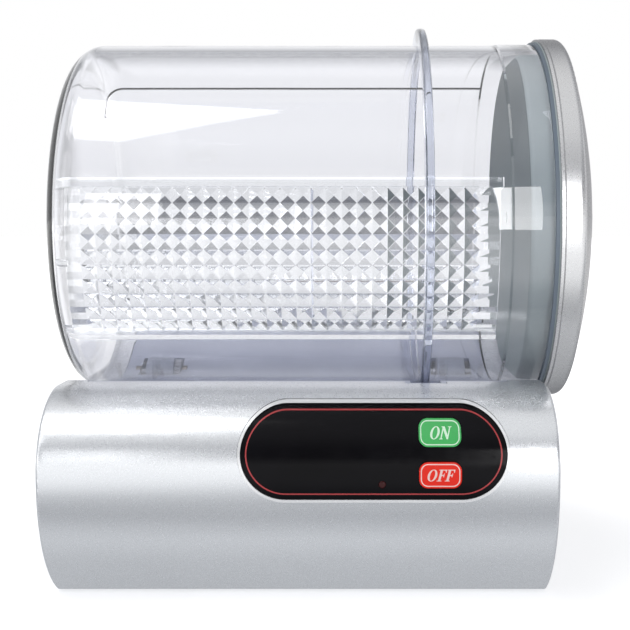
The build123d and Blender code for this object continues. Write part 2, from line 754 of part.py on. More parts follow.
# ---------------------------------------------------------------- rollers and their axles
for name, (x, angle) in roller_places.items():
    driven = name == "rear_left"
    hub_radius = roller_radius - tyre_thickness
    with BuildPart() as hub:
        with BuildSketch(radial_plane(x - roller_width / 2, angle)):
            with Locations((roller_distance, 0)):
                Circle(hub_radius)
                Circle(axle_radius + (seat_gap if driven else running_gap), mode=Mode.SUBTRACT)
        extrude(amount=roller_width)
        if driven:
            with BuildSketch(radial_plane(x + roller_width / 2, angle)):
                with Locations((roller_distance, 0)):
                    Circle(hub_radius - 1)
                    Circle(axle_radius + seat_gap, mode=Mode.SUBTRACT)
            extrude(amount=gear_x - x - roller_width / 2)
            with BuildSketch(radial_plane(gear_x, angle)):
                with Locations((roller_distance, 0)):
                    Polygon(*gear_outline(roller_gear_teeth), align=None)
                    Circle(axle_radius + seat_gap, mode=Mode.SUBTRACT)
            extrude(amount=roller_gear_width)
    save(hub, f"{name}_hub")
    with BuildPart() as tyre:
        with BuildSketch(radial_plane(x - roller_width / 2, angle)):
            with Locations((roller_distance, 0)):
                Circle(roller_radius)
                Circle(hub_radius + seat_gap, mode=Mode.SUBTRACT)
        extrude(amount=roller_width)
        fillet(tyre.edges().filter_by(GeomType.CIRCLE).sort_by(SortBy.RADIUS)[-2:], 0.8)
    save(tyre, f"{name}_tyre")

with BuildPart() as drive_axle:
    with BuildSketch(radial_plane(drive_x - cheek_outer, drive_angle)):
        with Locations((roller_distance, 0)):
            Circle(axle_radius)
    extrude(amount=2 * cheek_outer)
    chamfer(drive_axle.edges().filter_by(GeomType.CIRCLE), 0.4)
save(drive_axle, "drive_axle")

with BuildPart() as idle_axles:
    for name, (x, angle) in roller_places.items():
        if name != "rear_left":
            with BuildSketch(radial_plane(x - cheek_outer, angle)):
                with Locations((roller_distance, 0)):
                    Circle(axle_radius)
            extrude(amount=2 * cheek_outer)
    chamfer(idle_axles.edges().filter_by(GeomType.CIRCLE), 0.4)
save(idle_axles, "idle_axles")

with BuildPart() as drive_bushes:
    for start in (drive_x - cheek_outer, drive_x + window_half):
        with BuildSketch(radial_plane(start, drive_angle)):
            with Locations((roller_distance, 0)):
                Circle(axle_radius + running_gap + 2)
                Circle(axle_radius + running_gap, mode=Mode.SUBTRACT)
        extrude(amount=cheek_thickness)
save(drive_bushes, "drive_bushes")

# ---------------------------------------------------------------- motor and pinion
pinion_x = gear_x - 0.15
# half a tooth of turn puts a gap of the pinion against a tooth of the gear
pinion_turn = 180 + 180 / pinion_teeth

with BuildPart() as motor_pinion:
    with BuildSketch(radial_plane(pinion_x, drive_angle)):
        with Locations(Location((pinion_distance, 0), pinion_turn)):
            Polygon(*gear_outline(pinion_teeth), align=None)
            Circle(motor_shaft_radius + seat_gap, mode=Mode.SUBTRACT)
    extrude(amount=pinion_width)
save(motor_pinion, "motor_pinion")

shaft_depth = 10.0
with BuildPart() as motor_shaft:
    with BuildSketch(radial_plane(pinion_x, drive_angle)):
        with Locations((pinion_distance, 0)):
            Circle(motor_shaft_radius)
    extrude(amount=motor_x + shaft_depth - 0.3 - pinion_x)
    chamfer(motor_shaft.edges().filter_by(GeomType.CIRCLE), 0.4)
save(motor_shaft, "motor_shaft")

with BuildPart() as gear_motor:
    with BuildSketch(radial_plane(motor_x, drive_angle)):
        with Locations((motor_distance, 0)):
            Circle(motor_radius)
    extrude(amount=motor_gearbox_length)
    with BuildSketch(radial_plane(motor_x + motor_gearbox_length, drive_angle)):
        with Locations((motor_distance, 0)):
            Circle(motor_can_radius)
    extrude(amount=motor_can_length)
    fillet(gear_motor.edges().group_by(Axis.X)[-1], 1.5)
    with BuildSketch(radial_plane(motor_x + motor_gearbox_length + motor_can_length, drive_angle)):
        with Locations((motor_distance, 0)):
            Circle(5)
    extrude(amount=2)
    with BuildSketch(radial_plane(motor_x - bracket_thickness, drive_angle)):
        with Locations((pinion_distance, 0)):
            Circle(motor_boss_radius)
    extrude(amount=bracket_thickness)
    with BuildSketch(radial_plane(motor_x - bracket_thickness, drive_angle)):
        with Locations((pinion_distance, 0)):
            Circle(motor_shaft_radius + running_gap)
    extrude(amount=bracket_thickness + shaft_depth, mode=Mode.SUBTRACT)
    with BuildSketch(radial_plane(motor_x, drive_angle)):
        with Locations((motor_distance, 0)):
            with PolarLocations(motor_radius - 3.5, 2, start_angle=90):
                Circle(screw_radius + seat_gap)
    extrude(amount=6, mode=Mode.SUBTRACT)
save(gear_motor, "gear_motor")

with BuildPart() as motor_bracket:
    with BuildSketch(Plane.YZ.offset(bracket_x)):
        with Locations((motor_y, (cover_top + motor_z) / 2)):
            Rectangle(bracket_width, motor_z - cover_top)
        with Locations((motor_y, motor_z)):
            Circle(motor_radius)
    extrude(amount=bracket_thickness)
    with BuildSketch(Plane.XY.offset(cover_top)):
        with Locations((bracket_x + bracket_foot_length / 2, motor_y)):
            Rectangle(bracket_foot_length, bracket_width)
    extrude(amount=bracket_thickness)
    with BuildSketch(radial_plane(bracket_x, drive_angle)):
        with Locations((pinion_distance, 0)):
            Circle(motor_boss_radius + fit_gap)
        with Locations((motor_distance, 0)):
            with PolarLocations(motor_radius - 3.5, 2, start_angle=90):
                Circle(screw_radius + seat_gap)
    extrude(amount=bracket_thickness, mode=Mode.SUBTRACT)
    with BuildSketch(Plane.XY.offset(cover_top)):
        with Locations(*bracket_screw_places):
            Circle(screw_radius + seat_gap)
    extrude(amount=bracket_thickness, mode=Mode.SUBTRACT)
save(motor_bracket, "motor_bracket")

with BuildPart() as bracket_screws:
    with Locations(*[Location((x, y, cover_top + bracket_thickness + screw_head_height), (180, 0, 0))
                     for x, y in bracket_screw_places]):
        add(screw(bracket_screw_length))
    with BuildSketch(radial_plane(bracket_x - 1.4, drive_angle)):
        with Locations((motor_distance, 0)):
            with PolarLocations(motor_radius - 3.5, 2, start_angle=90):
                Circle(screw_head_radius)
    extrude(amount=1.4)
    with BuildSketch(radial_plane(bracket_x, drive_angle)):
        with Locations((motor_distance, 0)):
            with PolarLocations(motor_radius - 3.5, 2, start_angle=90):
                Circle(screw_radius)
    extrude(amount=bracket_thickness + 5)
save(bracket_screws, "bracket_screws")

# ---------------------------------------------------------------- power inlet
with BuildPart() as power_inlet:
    with BuildSketch(Plane.XZ.offset(-inlet_seat_y)):
        with Locations((base_mid + inlet_x, inlet_z)):
            Circle(inlet_flange_radius)
    extrude(amount=-1.5)
    with BuildSketch(Plane.XZ.offset(-inlet_seat_y)):
        with Locations((base_mid + inlet_x, inlet_z)):
            Circle(inlet_body_radius)
    extrude(amount=inlet_depth)
    with BuildSketch(Plane.XZ.offset(-inlet_seat_y - 1.5)):
        with Locations((base_mid + inlet_x, inlet_z)):
            Circle(inlet_socket_radius)
            Circle(inlet_pin_radius, mode=Mode.SUBTRACT)
    extrude(amount=9 + 1.5, mode=Mode.SUBTRACT)
save(power_inlet, "power_inlet")

with BuildPart() as inlet_nut:
    with BuildSketch(Plane.XZ.offset(-inlet_seat_y + 5)):
        with Locations((base_mid + inlet_x, inlet_z)):
            RegularPolygon(inlet_nut_width / 2, 6, major_radius=False)
            Circle(inlet_body_radius + seat_gap, mode=Mode.SUBTRACT)
    extrude(amount=inlet_nut_thickness)
save(inlet_nut, "inlet_nut")

# ---------------------------------------------------------------- drum
socket_reach = plate_end_gap - 2.0
socket_half = tab_thickness / 2 + fit_gap + socket_wall / 2

with BuildPart() as tab_socket:
    with BuildSketch(radial_plane(drum_left + drum_wall - 0.5, -90 + tab_angle)):
        with Locations((drum_bore - 6, socket_half), (drum_bore - 6, -socket_half)):
            Rectangle(9, socket_wall)
    extrude(amount=socket_reach)
    add(drum_form(drum_wall / 2, drum_length), mode=Mode.INTERSECT)

# a moulded rib that runs along the drum and a little way down its closed end
with BuildPart() as drum_rib:
    with BuildSketch(radial_plane(drum_left, rib_angle)):
        with Locations(((drum_radius + rib_inner_radius) / 2, 0)):
            Rectangle(drum_radius - rib_inner_radius, rib_width)
    extrude(amount=drum_length - mouth_band_length)
    add(drum_form(drum_wall / 2, drum_length), mode=Mode.INTERSECT)
    add(drum_form(drum_wall + rib_height, drum_length + rib_height), mode=Mode.SUBTRACT)

with BuildPart() as drum_shell:
    add(drum_form(0, drum_length))
    band_left = mouth_x - mouth_band_length
    band_top = drum_radius + mouth_band_rise
    add(turned([(band_left, 70), (band_left, drum_radius), (band_left + 1, band_top), (mouth_x, band_top), (mouth_x, 70)]))
    add(drum_form(drum_wall, drum_length), mode=Mode.SUBTRACT)
    add(tab_socket.part)
    add(drum_rib.part)
save(drum_shell, "drum_shell")

with BuildPart() as guide_ring:
    with BuildSketch(turning_plane):
        with Locations((ring_x, (drum_radius + seat_gap + ring_radius) / 2)):
            Rectangle(ring_width, ring_radius - drum_radius - seat_gap)
    revolve(axis=drum_axis)
    fillet(guide_ring.edges().filter_by(GeomType.CIRCLE).sort_by(SortBy.RADIUS)[-2:], ring_edge_round)
save(guide_ring, "guide_ring")

# ---------------------------------------------------------------- kneading plate
top_turn = -90 - plate_top_angle
bottom_turn = -90 + plate_bottom_angle
row_turn = (bottom_turn - top_turn) / pyramid_rows
web_radius = plate_back_radius - plate_web
tip_radius = web_radius - pyramid_height


def polar(distance, angle):
    turn = radians(angle)
    return (distance * sin(turn), -distance * cos(turn))


def lip_sector(x, length, edge_angle, thickness, inner, outer):
    """A flat lip along the plate's edge: a sector round the drum's axis, as a solid along X."""
    turn = degrees(thickness / plate_back_radius)
    with BuildPart() as body:
        with BuildSketch(Plane(origin=(x, 0, drum_axis_height), x_dir=(0, 1, 0), z_dir=(1, 0, 0))):
            with BuildLine():
                Line(polar(inner, edge_angle), polar(outer, edge_angle))
                ThreePointArc(polar(outer, edge_angle), polar(outer, edge_angle + turn / 2), polar(outer, edge_angle + turn))
                Line(polar(outer, edge_angle + turn), polar(inner, edge_angle + turn))
                ThreePointArc(polar(inner, edge_angle + turn), polar(inner, edge_angle + turn / 2), polar(inner, edge_angle))
            make_face()
        extrude(amount=length)
    return body.part


ridges = []
for row in range(pyramid_rows):
    ridges.append(polar(web_radius, top_turn + row * row_turn))
    ridges.append(polar(tip_radius, top_turn + (row + 0.5) * row_turn))
ridges.append(polar(web_radius, bottom_turn))

columns_left = plate_left + left_strip
column_count = round((plate_length - left_strip - right_strip) / pyramid_pitch)
column_pitch = (plate_length - left_strip - right_strip) / column_count
comb = [(columns_left, web_radius)]
for column in range(column_count):
    comb.append((columns_left + (column + 0.5) * column_pitch, tip_radius - 0.1))
    comb.append((columns_left + (column + 1) * column_pitch, web_radius))
comb += [(columns_left + column_count * column_pitch, tip_radius - 3), (columns_left, tip_radius - 3)]

with BuildPart() as kneading_plate:
    with BuildSketch(Plane(origin=(plate_left, 0, drum_axis_height), x_dir=(0, 1, 0), z_dir=(1, 0, 0))):
        with BuildLine():
            Polyline(*ridges)
            Line(polar(web_radius, bottom_turn), polar(plate_back_radius, bottom_turn))
            ThreePointArc(polar(plate_back_radius, bottom_turn), polar(plate_back_radius, (top_turn + bottom_turn) / 2),
                          polar(plate_back_radius, top_turn))
            Line(polar(plate_back_radius, top_turn), polar(web_radius, top_turn))
        make_face()
    extrude(amount=plate_length)
    add(turned(comb), mode=Mode.SUBTRACT)
    lip_left = drum_left + drum_wall + 0.6
    lip_outer = drum_bore - fit_gap
    add(lip_sector(lip_left, plate_right + lip_overhang - lip_left, top_turn - degrees(top_lip_thickness / plate_back_radius),
                   top_lip_thickness, lip_outer - lip_depth, lip_outer))
    add(lip_sector(lip_left, plate_right - lip_left, bottom_turn, bottom_lip_thickness,
                   lip_outer - lip_depth + 1, lip_outer))
    tab_turn = -90 + tab_angle - degrees(tab_thickness / plate_back_radius / 2)
    add(lip_sector(drum_left + drum_wall + 0.3, plate_end_gap, tab_turn, tab_thickness, tip_radius, plate_back_radius))
    add(drum_form(drum_wall + fit_gap, drum_length), mode=Mode.INTERSECT)
save(kneading_plate, "kneading_plate")

# ---------------------------------------------------------------- lid
bush_radius = 6.5
bush_left = seal_x + valve_seal_thickness + valve_collar_thickness + 14.0
cap_left = flange_x + flange_thickness
skirt_bore = lid_radius - lid_wall
dome_edge = lid_radius - lid_rim_round
dome_depth = (dome_edge**2 - crown_radius**2 - lid_dome_height**2) / (2 * lid_dome_height)
dome_radius = sqrt(dome_depth**2 + dome_edge**2)
dome_centre_x = rim_face_x - dome_depth
middle_radius = (dome_edge + crown_radius) / 2
middle_x = dome_centre_x + sqrt(dome_radius**2 - middle_radius**2)
round_middle = lid_rim_round / sqrt(2)

with BuildPart() as lid_cap:
    with BuildSketch(turning_plane):
        with BuildLine():
            Polyline((cap_left, skirt_bore), (cap_left, lid_radius - 0.6), (cap_left + 0.6, lid_radius),
                     (rim_face_x - lid_rim_round, lid_radius))
            ThreePointArc((rim_face_x - lid_rim_round, lid_radius),
                          (rim_face_x - lid_rim_round + round_middle, dome_edge + round_middle),
                          (rim_face_x, dome_edge))
            ThreePointArc((rim_face_x, dome_edge), (middle_x, middle_radius), (crown_x, crown_radius))
            Polyline((crown_x, crown_radius), (crown_x, stem_radius + running_gap),
                     (bush_left, stem_radius + running_gap), (bush_left, bush_radius),
                     (crown_x - lid_wall, bush_radius), (crown_x - lid_wall, crown_radius))
            ThreePointArc((crown_x - lid_wall, crown_radius), (middle_x - lid_wall, middle_radius),
                          (rim_face_x - lid_wall, dome_edge - 1))
            Polyline((rim_face_x - lid_wall, dome_edge - 1), (rim_face_x - lid_wall - 1, skirt_bore), (cap_left, skirt_bore))
        make_face()
    revolve(axis=drum_axis)
save(lid_cap, "lid_cap")

flange_radius = lid_radius - 1.2
spigot_radius = skirt_bore - fit_gap

with BuildPart() as lid_plug:
    add(turned([
        (plug_face_x, vent_radius), (plug_face_x, plug_radius), (flange_x, plug_radius), (flange_x, flange_radius),
        (cap_left, flange_radius), (cap_left, spigot_radius), (cap_left + 2, spigot_radius),
        (cap_left + 2, spigot_radius - 2), (cap_left, spigot_radius - 2), (cap_left, plug_radius - plug_wall),
        (plug_face_x + plug_wall, plug_radius - plug_wall), (plug_face_x + plug_wall, 6.0),
        (plug_face_x + plug_wall + seat_height, 6.0), (plug_face_x + plug_wall + seat_height, 4.5),
        (plug_face_x + plug_wall, vent_radius),
    ]))
    face_edge = lid_plug.edges().filter_by_position(Axis.X, plug_face_x, plug_face_x).sort_by(SortBy.RADIUS)[-1]
    fillet(face_edge, plug_corner_round)
save(lid_plug, "lid_plug")

gasket_radius = drum_radius + mouth_band_rise + 1

with BuildPart() as lid_gasket:
    add(turned([
        (gasket_x, plug_radius + seat_gap), (gasket_x, gasket_radius), (flange_x, gasket_radius),
        (flange_x, plug_radius + seat_gap),
    ]))
save(lid_gasket, "lid_gasket")

# ---------------------------------------------------------------- release valve
collar_x = seal_x + valve_seal_thickness

with BuildPart() as valve_seal:
    add(turned([
        (seal_x, 0), (seal_x, valve_seal_radius), (collar_x, valve_seal_radius), (collar_x, 0),
    ]))
    fillet(valve_seal.edges().filter_by(GeomType.CIRCLE), 0.4)
save(valve_seal, "valve_seal")

stem_end = knob_x + knob_thickness - 1.2
with BuildPart() as valve_stem:
    add(turned([
        (collar_x, 0), (collar_x, valve_seal_radius - 1.5), (collar_x + valve_collar_thickness, valve_seal_radius - 1.5),
        (collar_x + valve_collar_thickness, stem_radius), (stem_end, stem_radius), (stem_end, 0),
    ]))
save(valve_stem, "valve_stem")

with BuildPart() as valve_knob:
    add(turned([
        (knob_x, stem_radius + seat_gap), (knob_x, knob_radius), (knob_x + knob_thickness, knob_radius),
        (knob_x + knob_thickness, 0), (stem_end + seat_gap, 0), (stem_end + seat_gap, stem_radius + seat_gap),
    ]))
    outer_edges = valve_knob.edges().filter_by(GeomType.CIRCLE).sort_by(SortBy.RADIUS)[-2:]
    fillet(outer_edges, 0.9)
save(valve_knob, "valve_knob")

spring_from = collar_x + valve_collar_thickness + spring_wire_radius + 0.1
spring_length = bush_left - spring_from - spring_wire_radius - 0.1
with BuildPart() as valve_spring:
    with BuildLine():
        coil = Helix(pitch=spring_pitch, height=spring_length, radius=spring_coil_radius,
                     center=(spring_from, 0, drum_axis_height), direction=(1, 0, 0))
    with BuildSketch(Plane(origin=coil @ 0, z_dir=coil % 0)):
        Circle(spring_wire_radius)
    sweep(path=coil, is_frenet=True)
save(valve_spring, "valve_spring")

reach = {"left": left_end + base_mid, "right": right_end + base_mid, "top": drum_axis_height + ring_radius}
print("base middle", round(base_mid, 3), "reach", {side: round(value, 2) for side, value in reach.items()})
print("roller ratio", round(drum_radius / roller_radius, 4), "pinion ratio",
      round(drum_radius / roller_radius * roller_gear_teeth / pinion_teeth, 4))
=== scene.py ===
import json
import math

import bmesh
import bpy
from mathutils import Matrix, Vector


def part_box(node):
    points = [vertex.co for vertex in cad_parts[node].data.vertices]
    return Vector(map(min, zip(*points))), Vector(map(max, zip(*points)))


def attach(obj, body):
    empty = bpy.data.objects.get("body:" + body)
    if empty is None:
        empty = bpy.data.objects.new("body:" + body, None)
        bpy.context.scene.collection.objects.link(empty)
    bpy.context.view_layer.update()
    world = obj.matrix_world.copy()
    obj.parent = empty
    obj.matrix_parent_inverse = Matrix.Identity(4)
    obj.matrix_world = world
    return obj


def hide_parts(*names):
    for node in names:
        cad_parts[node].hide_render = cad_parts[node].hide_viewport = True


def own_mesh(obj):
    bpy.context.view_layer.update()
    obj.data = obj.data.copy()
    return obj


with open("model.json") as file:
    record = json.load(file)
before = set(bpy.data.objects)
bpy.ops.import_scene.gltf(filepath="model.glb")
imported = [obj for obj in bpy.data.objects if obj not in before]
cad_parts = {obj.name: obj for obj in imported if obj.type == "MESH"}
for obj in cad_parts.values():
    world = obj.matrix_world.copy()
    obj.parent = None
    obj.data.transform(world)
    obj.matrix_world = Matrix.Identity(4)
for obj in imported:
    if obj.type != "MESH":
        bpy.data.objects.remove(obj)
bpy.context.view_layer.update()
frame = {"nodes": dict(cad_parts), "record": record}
nodes = frame["nodes"]
scene = bpy.context.scene
print("frame loaded:", len(nodes), "nodes")

mm = 0.001
drumLow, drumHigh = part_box("drum_shell")
axisHeight = (drumLow.z + drumHigh.z) / 2  # the drum, its lid and the valve all lie round this axis


# small helpers
def hexToLinear(code):
    values = [int(code.lstrip("#")[i:i + 2], 16) / 255 for i in (0, 2, 4)]
    return tuple(v / 12.92 if v <= 0.04045 else ((v + 0.055) / 1.055) ** 2.4 for v in values) + (1.0,)


def addNode(tree, kind, inputs=None, stops=(), **settings):
    # inputs: a value, a socket or a node for each input's name or number; a node gives its first live output.
    # stops: the places and colours of a colour ramp
    node = tree.nodes.new(kind)
    for name, value in settings.items():
        setattr(node, name, value)
    for name, value in (inputs or {}).items():
        if isinstance(value, bpy.types.Node):
            value = next(output for output in value.outputs if output.enabled)
        if isinstance(value, bpy.types.NodeSocket):
            tree.links.new(value, node.inputs[name])
        else:
            node.inputs[name].default_value = value
    for place, code in stops:
        node.color_ramp.elements.new(place).color = hexToLinear(code)
    for spare in (0, -1):
        if stops and len(node.color_ramp.elements) > len(stops):
            node.color_ramp.elements.remove(node.color_ramp.elements[spare])
    return node


def newMaterial(name):
    material = bpy.data.materials.new(name)
    material.use_nodes = True
    tree = material.node_tree
    tree.nodes.clear()
    return material, tree


def setMaterial(piece, material):
    piece.data.materials.clear()
    piece.data.materials.append(material)


def newPiece(name, mesh, material, body):
    piece = bpy.data.objects.new(name, mesh)
    scene.collection.objects.link(piece)
    setMaterial(piece, material)
    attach(piece, body)
    return piece


# points nearer than this are one, in metres, and edges are sharp from this angle, in degrees
meshValues = {"samePoint": 1e-7, "samePackedPoint": 2e-6, "sharp": 35, "packedSharp": 30, "fineSharp": 40}


def smoothByAngle(mesh, degrees):
    # faces are smooth, and an edge is sharp where its faces meet at more than the angle
    work = bmesh.new()
    work.from_mesh(mesh)
    limit = math.radians(degrees)
    for face in work.faces:
        face.smooth = True
    for edge in work.edges:
        edge.smooth = len(edge.link_faces) == 2 and edge.calc_face_angle(0) < limit
    work.to_mesh(mesh)
    work.free()


def closedMesh(name, work, degrees=meshValues["sharp"]):
    bmesh.ops.remove_doubles(work, verts=work.verts, dist=meshValues["samePoint"])
    bmesh.ops.recalc_face_normals(work, faces=work.faces)
    mesh = bpy.data.meshes.new(name)
    work.to_mesh(mesh)
    work.free()
    smoothByAngle(mesh, degrees)
    return mesh


def mergedCopy(node, name):
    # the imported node's loose triangles, joined so that its round faces shade smoothly
    work = bmesh.new()
    work.from_mesh(nodes[node].data)
    bmesh.ops.remove_doubles(work, verts=work.verts, dist=meshValues["samePackedPoint"])
    mesh = bpy.data.meshes.new(name)
    work.to_mesh(mesh)
    work.free()
    smoothByAngle(mesh, meshValues["packedSharp"])
    return mesh


def lathe(name, profile, degrees=meshValues["sharp"], rib=None, segments=256):
    # profile: closed loop of (x, radius) in metres, turned round the drum's axis.
    # rib: a second profile with as many points, and (turn in degrees, share of it) across the rib
    turns = [(360 * k / segments, 0) for k in range(segments)]
    ribProfile = profile
    if rib:
        ribProfile, across = rib
        clear = 0.1  # degrees with no other point beside the rib
        turns = [(turn, 0) for turn, _ in turns if not across[0][0] - clear < turn < across[-1][0] + clear]
        turns = sorted(turns + across)
    work = bmesh.new()
    rings = []
    for (x, radius), (ribX, ribRadius) in zip(profile, ribProfile):
        if radius == 0:
            rings.append([work.verts.new((x, 0, axisHeight))] * len(turns))
            continue
        ring = []
        for turn, share in turns:
            pointX = x + share * (ribX - x)
            pointRadius = radius + share * (ribRadius - radius)
            side = pointRadius * math.sin(math.radians(turn))
            drop = pointRadius * math.cos(math.radians(turn))
            ring.append(work.verts.new((pointX, side, axisHeight - drop)))
        rings.append(ring)
    for first, second in zip(rings, rings[1:] + rings[:1]):
        for k in range(len(turns)):
            after = (k + 1) % len(turns)
            corners = [first[k], second[k], second[after], first[after]]
            corners = list(dict.fromkeys(corners))
            if len(corners) > 2:
                work.faces.new(corners)
    return closedMesh(name, work, degrees)


def arcPoints(centre, radius, start, end, steps):
    # angles in degrees, from +x towards +radius
    points = []
    for k in range(steps + 1):
        turn = math.radians(start + (end - start) * k / steps)
        points.append((centre[0] + radius * math.cos(turn), centre[1] + radius * math.sin(turn)))
    return points


def inMetres(points):
    return [(x * mm, radius * mm) for x, radius in points]


# camera: level, in front of the panel, a little towards the lid
cameraValues = {"place": (8.1 * mm, -563 * mm, 153.8 * mm), "lens": 66.4, "sensor": 36,
                "shift": (-0.0603, -0.1317), "nearest": 0.01}
camera = bpy.data.objects.new("camera", bpy.data.cameras.new("camera"))
scene.collection.objects.link(camera)
camera.location = cameraValues["place"]
camera.rotation_euler = (math.radians(90), 0, 0)
camera.data.sensor_width = cameraValues["sensor"]
camera.data.lens = cameraValues["lens"]
camera.data.shift_x, camera.data.shift_y = cameraValues["shift"]
camera.data.clip_start = cameraValues["nearest"]
scene.camera = camera
print("camera set")

# light: two tall softboxes and a narrow strip beside the camera, one softbox overhead, and a pale room
lightValues = {
    "softboxes": {
        # name: (place, aimed at, width, height, turn about its own middle, radiance)
        "softboxLeft": ((-0.66, -0.70, 0.40), (0, 0, 0.13), 0.36, 0.70, 0, 1.6),
        "softboxRight": ((0.26, -0.93, 0.235), (0.05, 0, 0.15), 0.17, 0.43, 0, 6.8),
        "stripLeft": ((-0.235, -0.70, 0.215), (-0.09, 0, 0.17), 0.075, 0.23, 0, 2.7),
        "softboxTop": ((-0.395, -0.42, 1.05), (-0.05, 0, 0.15), 0.46, 0.46, 5, 3.2),
    },
    # how often light is followed on: through clear plastic, from gloss and from matt faces
    "clearBounces": 28, "glossyBounces": 10, "mattBounces": 5,
}
for name, (place, target, width, height, turn, radiance) in lightValues["softboxes"].items():
    lamp = bpy.data.lights.new(name, "AREA")
    lamp.shape = "RECTANGLE"
    lamp.size, lamp.size_y = width, height
    lamp.energy = radiance * math.pi * width * height
    softbox = bpy.data.objects.new(name, lamp)
    scene.collection.objects.link(softbox)
    softbox.location = place
    aim = (Vector(target) - Vector(place)).to_track_quat("-Z", "Y").to_matrix()
    softbox.rotation_euler = (aim @ Matrix.Rotation(math.radians(turn), 3, "Z")).to_euler()
scene.view_settings.view_transform = "Standard"
scene.cycles.max_bounces = lightValues["clearBounces"]
scene.cycles.transmission_bounces = lightValues["clearBounces"]
scene.cycles.transparent_max_bounces = lightValues["clearBounces"]
scene.cycles.glossy_bounces = lightValues["glossyBounces"]
scene.cycles.diffuse_bounces = lightValues["mattBounces"]


def seenThrough(tree, path):
    # 1 for what is seen straight through clear plastic, with no reflection on the way
    unreflected = addNode(tree, "ShaderNodeMath", {0: path["Glossy Depth"], 1: 0.5}, operation="LESS_THAN")
    return addNode(tree, "ShaderNodeMath", {
        0: unreflected, 1: path["Is Transmission Ray"]}, operation="MULTIPLY")


# the room: plain light on matt faces, walls with darker parts in gloss and behind clear plastic, white beyond
roomValues = {
    "light": "#FBFBFC", "lightStrength": 0.50,
    # upward part of the direction and colour, from the floor's level to straight up
    "front": [(0.0, "#F4F5F7"), (0.08, "#F4F5F7"), (0.17, "#8B8D91"), (0.44, "#919398"),
              (0.62, "#C9CACD"), (0.8, "#F2F3F4")],
    "rear": [(0.0, "#F7F8FA"), (0.40, "#F1F2F4"), (0.62, "#A5A7AB"), (0.80, "#C4C6CA"), (1.0, "#F2F3F4")],
    # rearward part of the direction over which the front goes into the rear
    "blend": (-0.12, 0.12),
    # what is seen straight through clear plastic, by how steep the way is
    "through": [(0.0, "#FBFCFD"), (0.22, "#F7F8FA"), (0.33, "#606268"), (0.75, "#76787E"), (1.0, "#8B8D92")],
    # it darkens to either side, over this sideward part of the direction and by this share
    "sides": "#23252C", "sidesBlend": (0.68, 0.86), "sidesDark": 0.72,
}
world = bpy.data.worlds.new("paleRoom")
scene.world = world
world.use_nodes = True
tree = world.node_tree
tree.nodes.clear()
path = addNode(tree, "ShaderNodeLightPath").outputs
way = addNode(tree, "ShaderNodeTexCoord").outputs["Generated"]
way = addNode(tree, "ShaderNodeSeparateXYZ", {0: way}).outputs
steepness = addNode(tree, "ShaderNodeMath", {0: way["Z"]}, operation="ABSOLUTE")
front = addNode(tree, "ShaderNodeValToRGB", {0: steepness}, roomValues["front"])
rear = addNode(tree, "ShaderNodeValToRGB", {0: steepness}, roomValues["rear"])
blend = addNode(tree, "ShaderNodeMapRange", {
    0: way["Y"], 1: roomValues["blend"][0], 2: roomValues["blend"][1]})
walls = addNode(tree, "ShaderNodeMix", {0: blend, 6: front, 7: rear}, data_type="RGBA")
middle = addNode(tree, "ShaderNodeValToRGB", {0: steepness}, roomValues["through"])
aside = addNode(tree, "ShaderNodeMath", {0: way["X"]}, operation="ABSOLUTE")
shade = addNode(tree, "ShaderNodeMapRange", {
    0: aside, 1: roomValues["sidesBlend"][0], 2: roomValues["sidesBlend"][1], 4: roomValues["sidesDark"]},
    interpolation_type="SMOOTHSTEP")
beyond = addNode(tree, "ShaderNodeMix", {
    0: shade, 6: middle, 7: hexToLinear(roomValues["sides"])}, data_type="RGBA")
through = seenThrough(tree, path)
seenColour = addNode(tree, "ShaderNodeMix", {0: through, 6: walls, 7: beyond}, data_type="RGBA")
roomSeen = addNode(tree, "ShaderNodeBackground", {"Color": seenColour})
roomLight = addNode(tree, "ShaderNodeBackground", {
    "Color": hexToLinear(roomValues["light"]), "Strength": roomValues["lightStrength"]})
seen = addNode(tree, "ShaderNodeMath", {
    0: path["Is Glossy Ray"], 1: path["Is Transmission Ray"]}, operation="MAXIMUM")
unscattered = addNode(tree, "ShaderNodeMath", {0: path["Diffuse Depth"], 1: 0.5}, operation="LESS_THAN")
seenFirst = addNode(tree, "ShaderNodeMath", {0: seen, 1: unscattered}, operation="MULTIPLY")
inside = addNode(tree, "ShaderNodeMixShader", {0: seenFirst, 1: roomLight, 2: roomSeen})
white = addNode(tree, "ShaderNodeBackground", {"Color": (1, 1, 1, 1)})
whole = addNode(tree, "ShaderNodeMixShader", {0: path["Is Camera Ray"], 1: inside, 2: white})
addNode(tree, "ShaderNodeOutputWorld", {"Surface": whole})

# pale floor that keeps the object's shadow
floorValues = {
    "half": 30.0, "sunk": 0.2 * mm, "paint": "#F2F3F6",
    # its own glow brings it to white: this far from the middle, from the near strength to the far one
    "glowBlend": (0.13, 0.30), "glow": (0.52, 1.0),
    # distance in front of or behind the middle in metres, and the table's colour as seen in reflections; its
    # dark bands near the middle are painted shade
    "table": [(0.0, "#A4A6A9"), (0.085, "#A9ABAE"), (0.105, "#BCBEC1"), (0.135, "#8A8C90"),
              (0.18, "#A6A8AB"), (0.24, "#F2F3F4"), (1.0, "#FAFBFC")],
    "tableStrength": 1.42,
    # the same as seen through clear plastic, by distance behind the middle; its dark band is painted shade
    "through": [(0.0, "#FBFCFD"), (0.11, "#F2F3F5"), (0.16, "#8A8C91"), (0.40, "#84868B"), (0.54, "#FBFCFD")],
}
floorMaterial, tree = newMaterial("paleStudioFloor")
path = addNode(tree, "ShaderNodeLightPath").outputs
place = addNode(tree, "ShaderNodeTexCoord").outputs["Object"]
paint = addNode(tree, "ShaderNodeBsdfDiffuse", {"Color": hexToLinear(floorValues["paint"])})
fromMiddle = addNode(tree, "ShaderNodeVectorMath", {0: place}, operation="LENGTH")
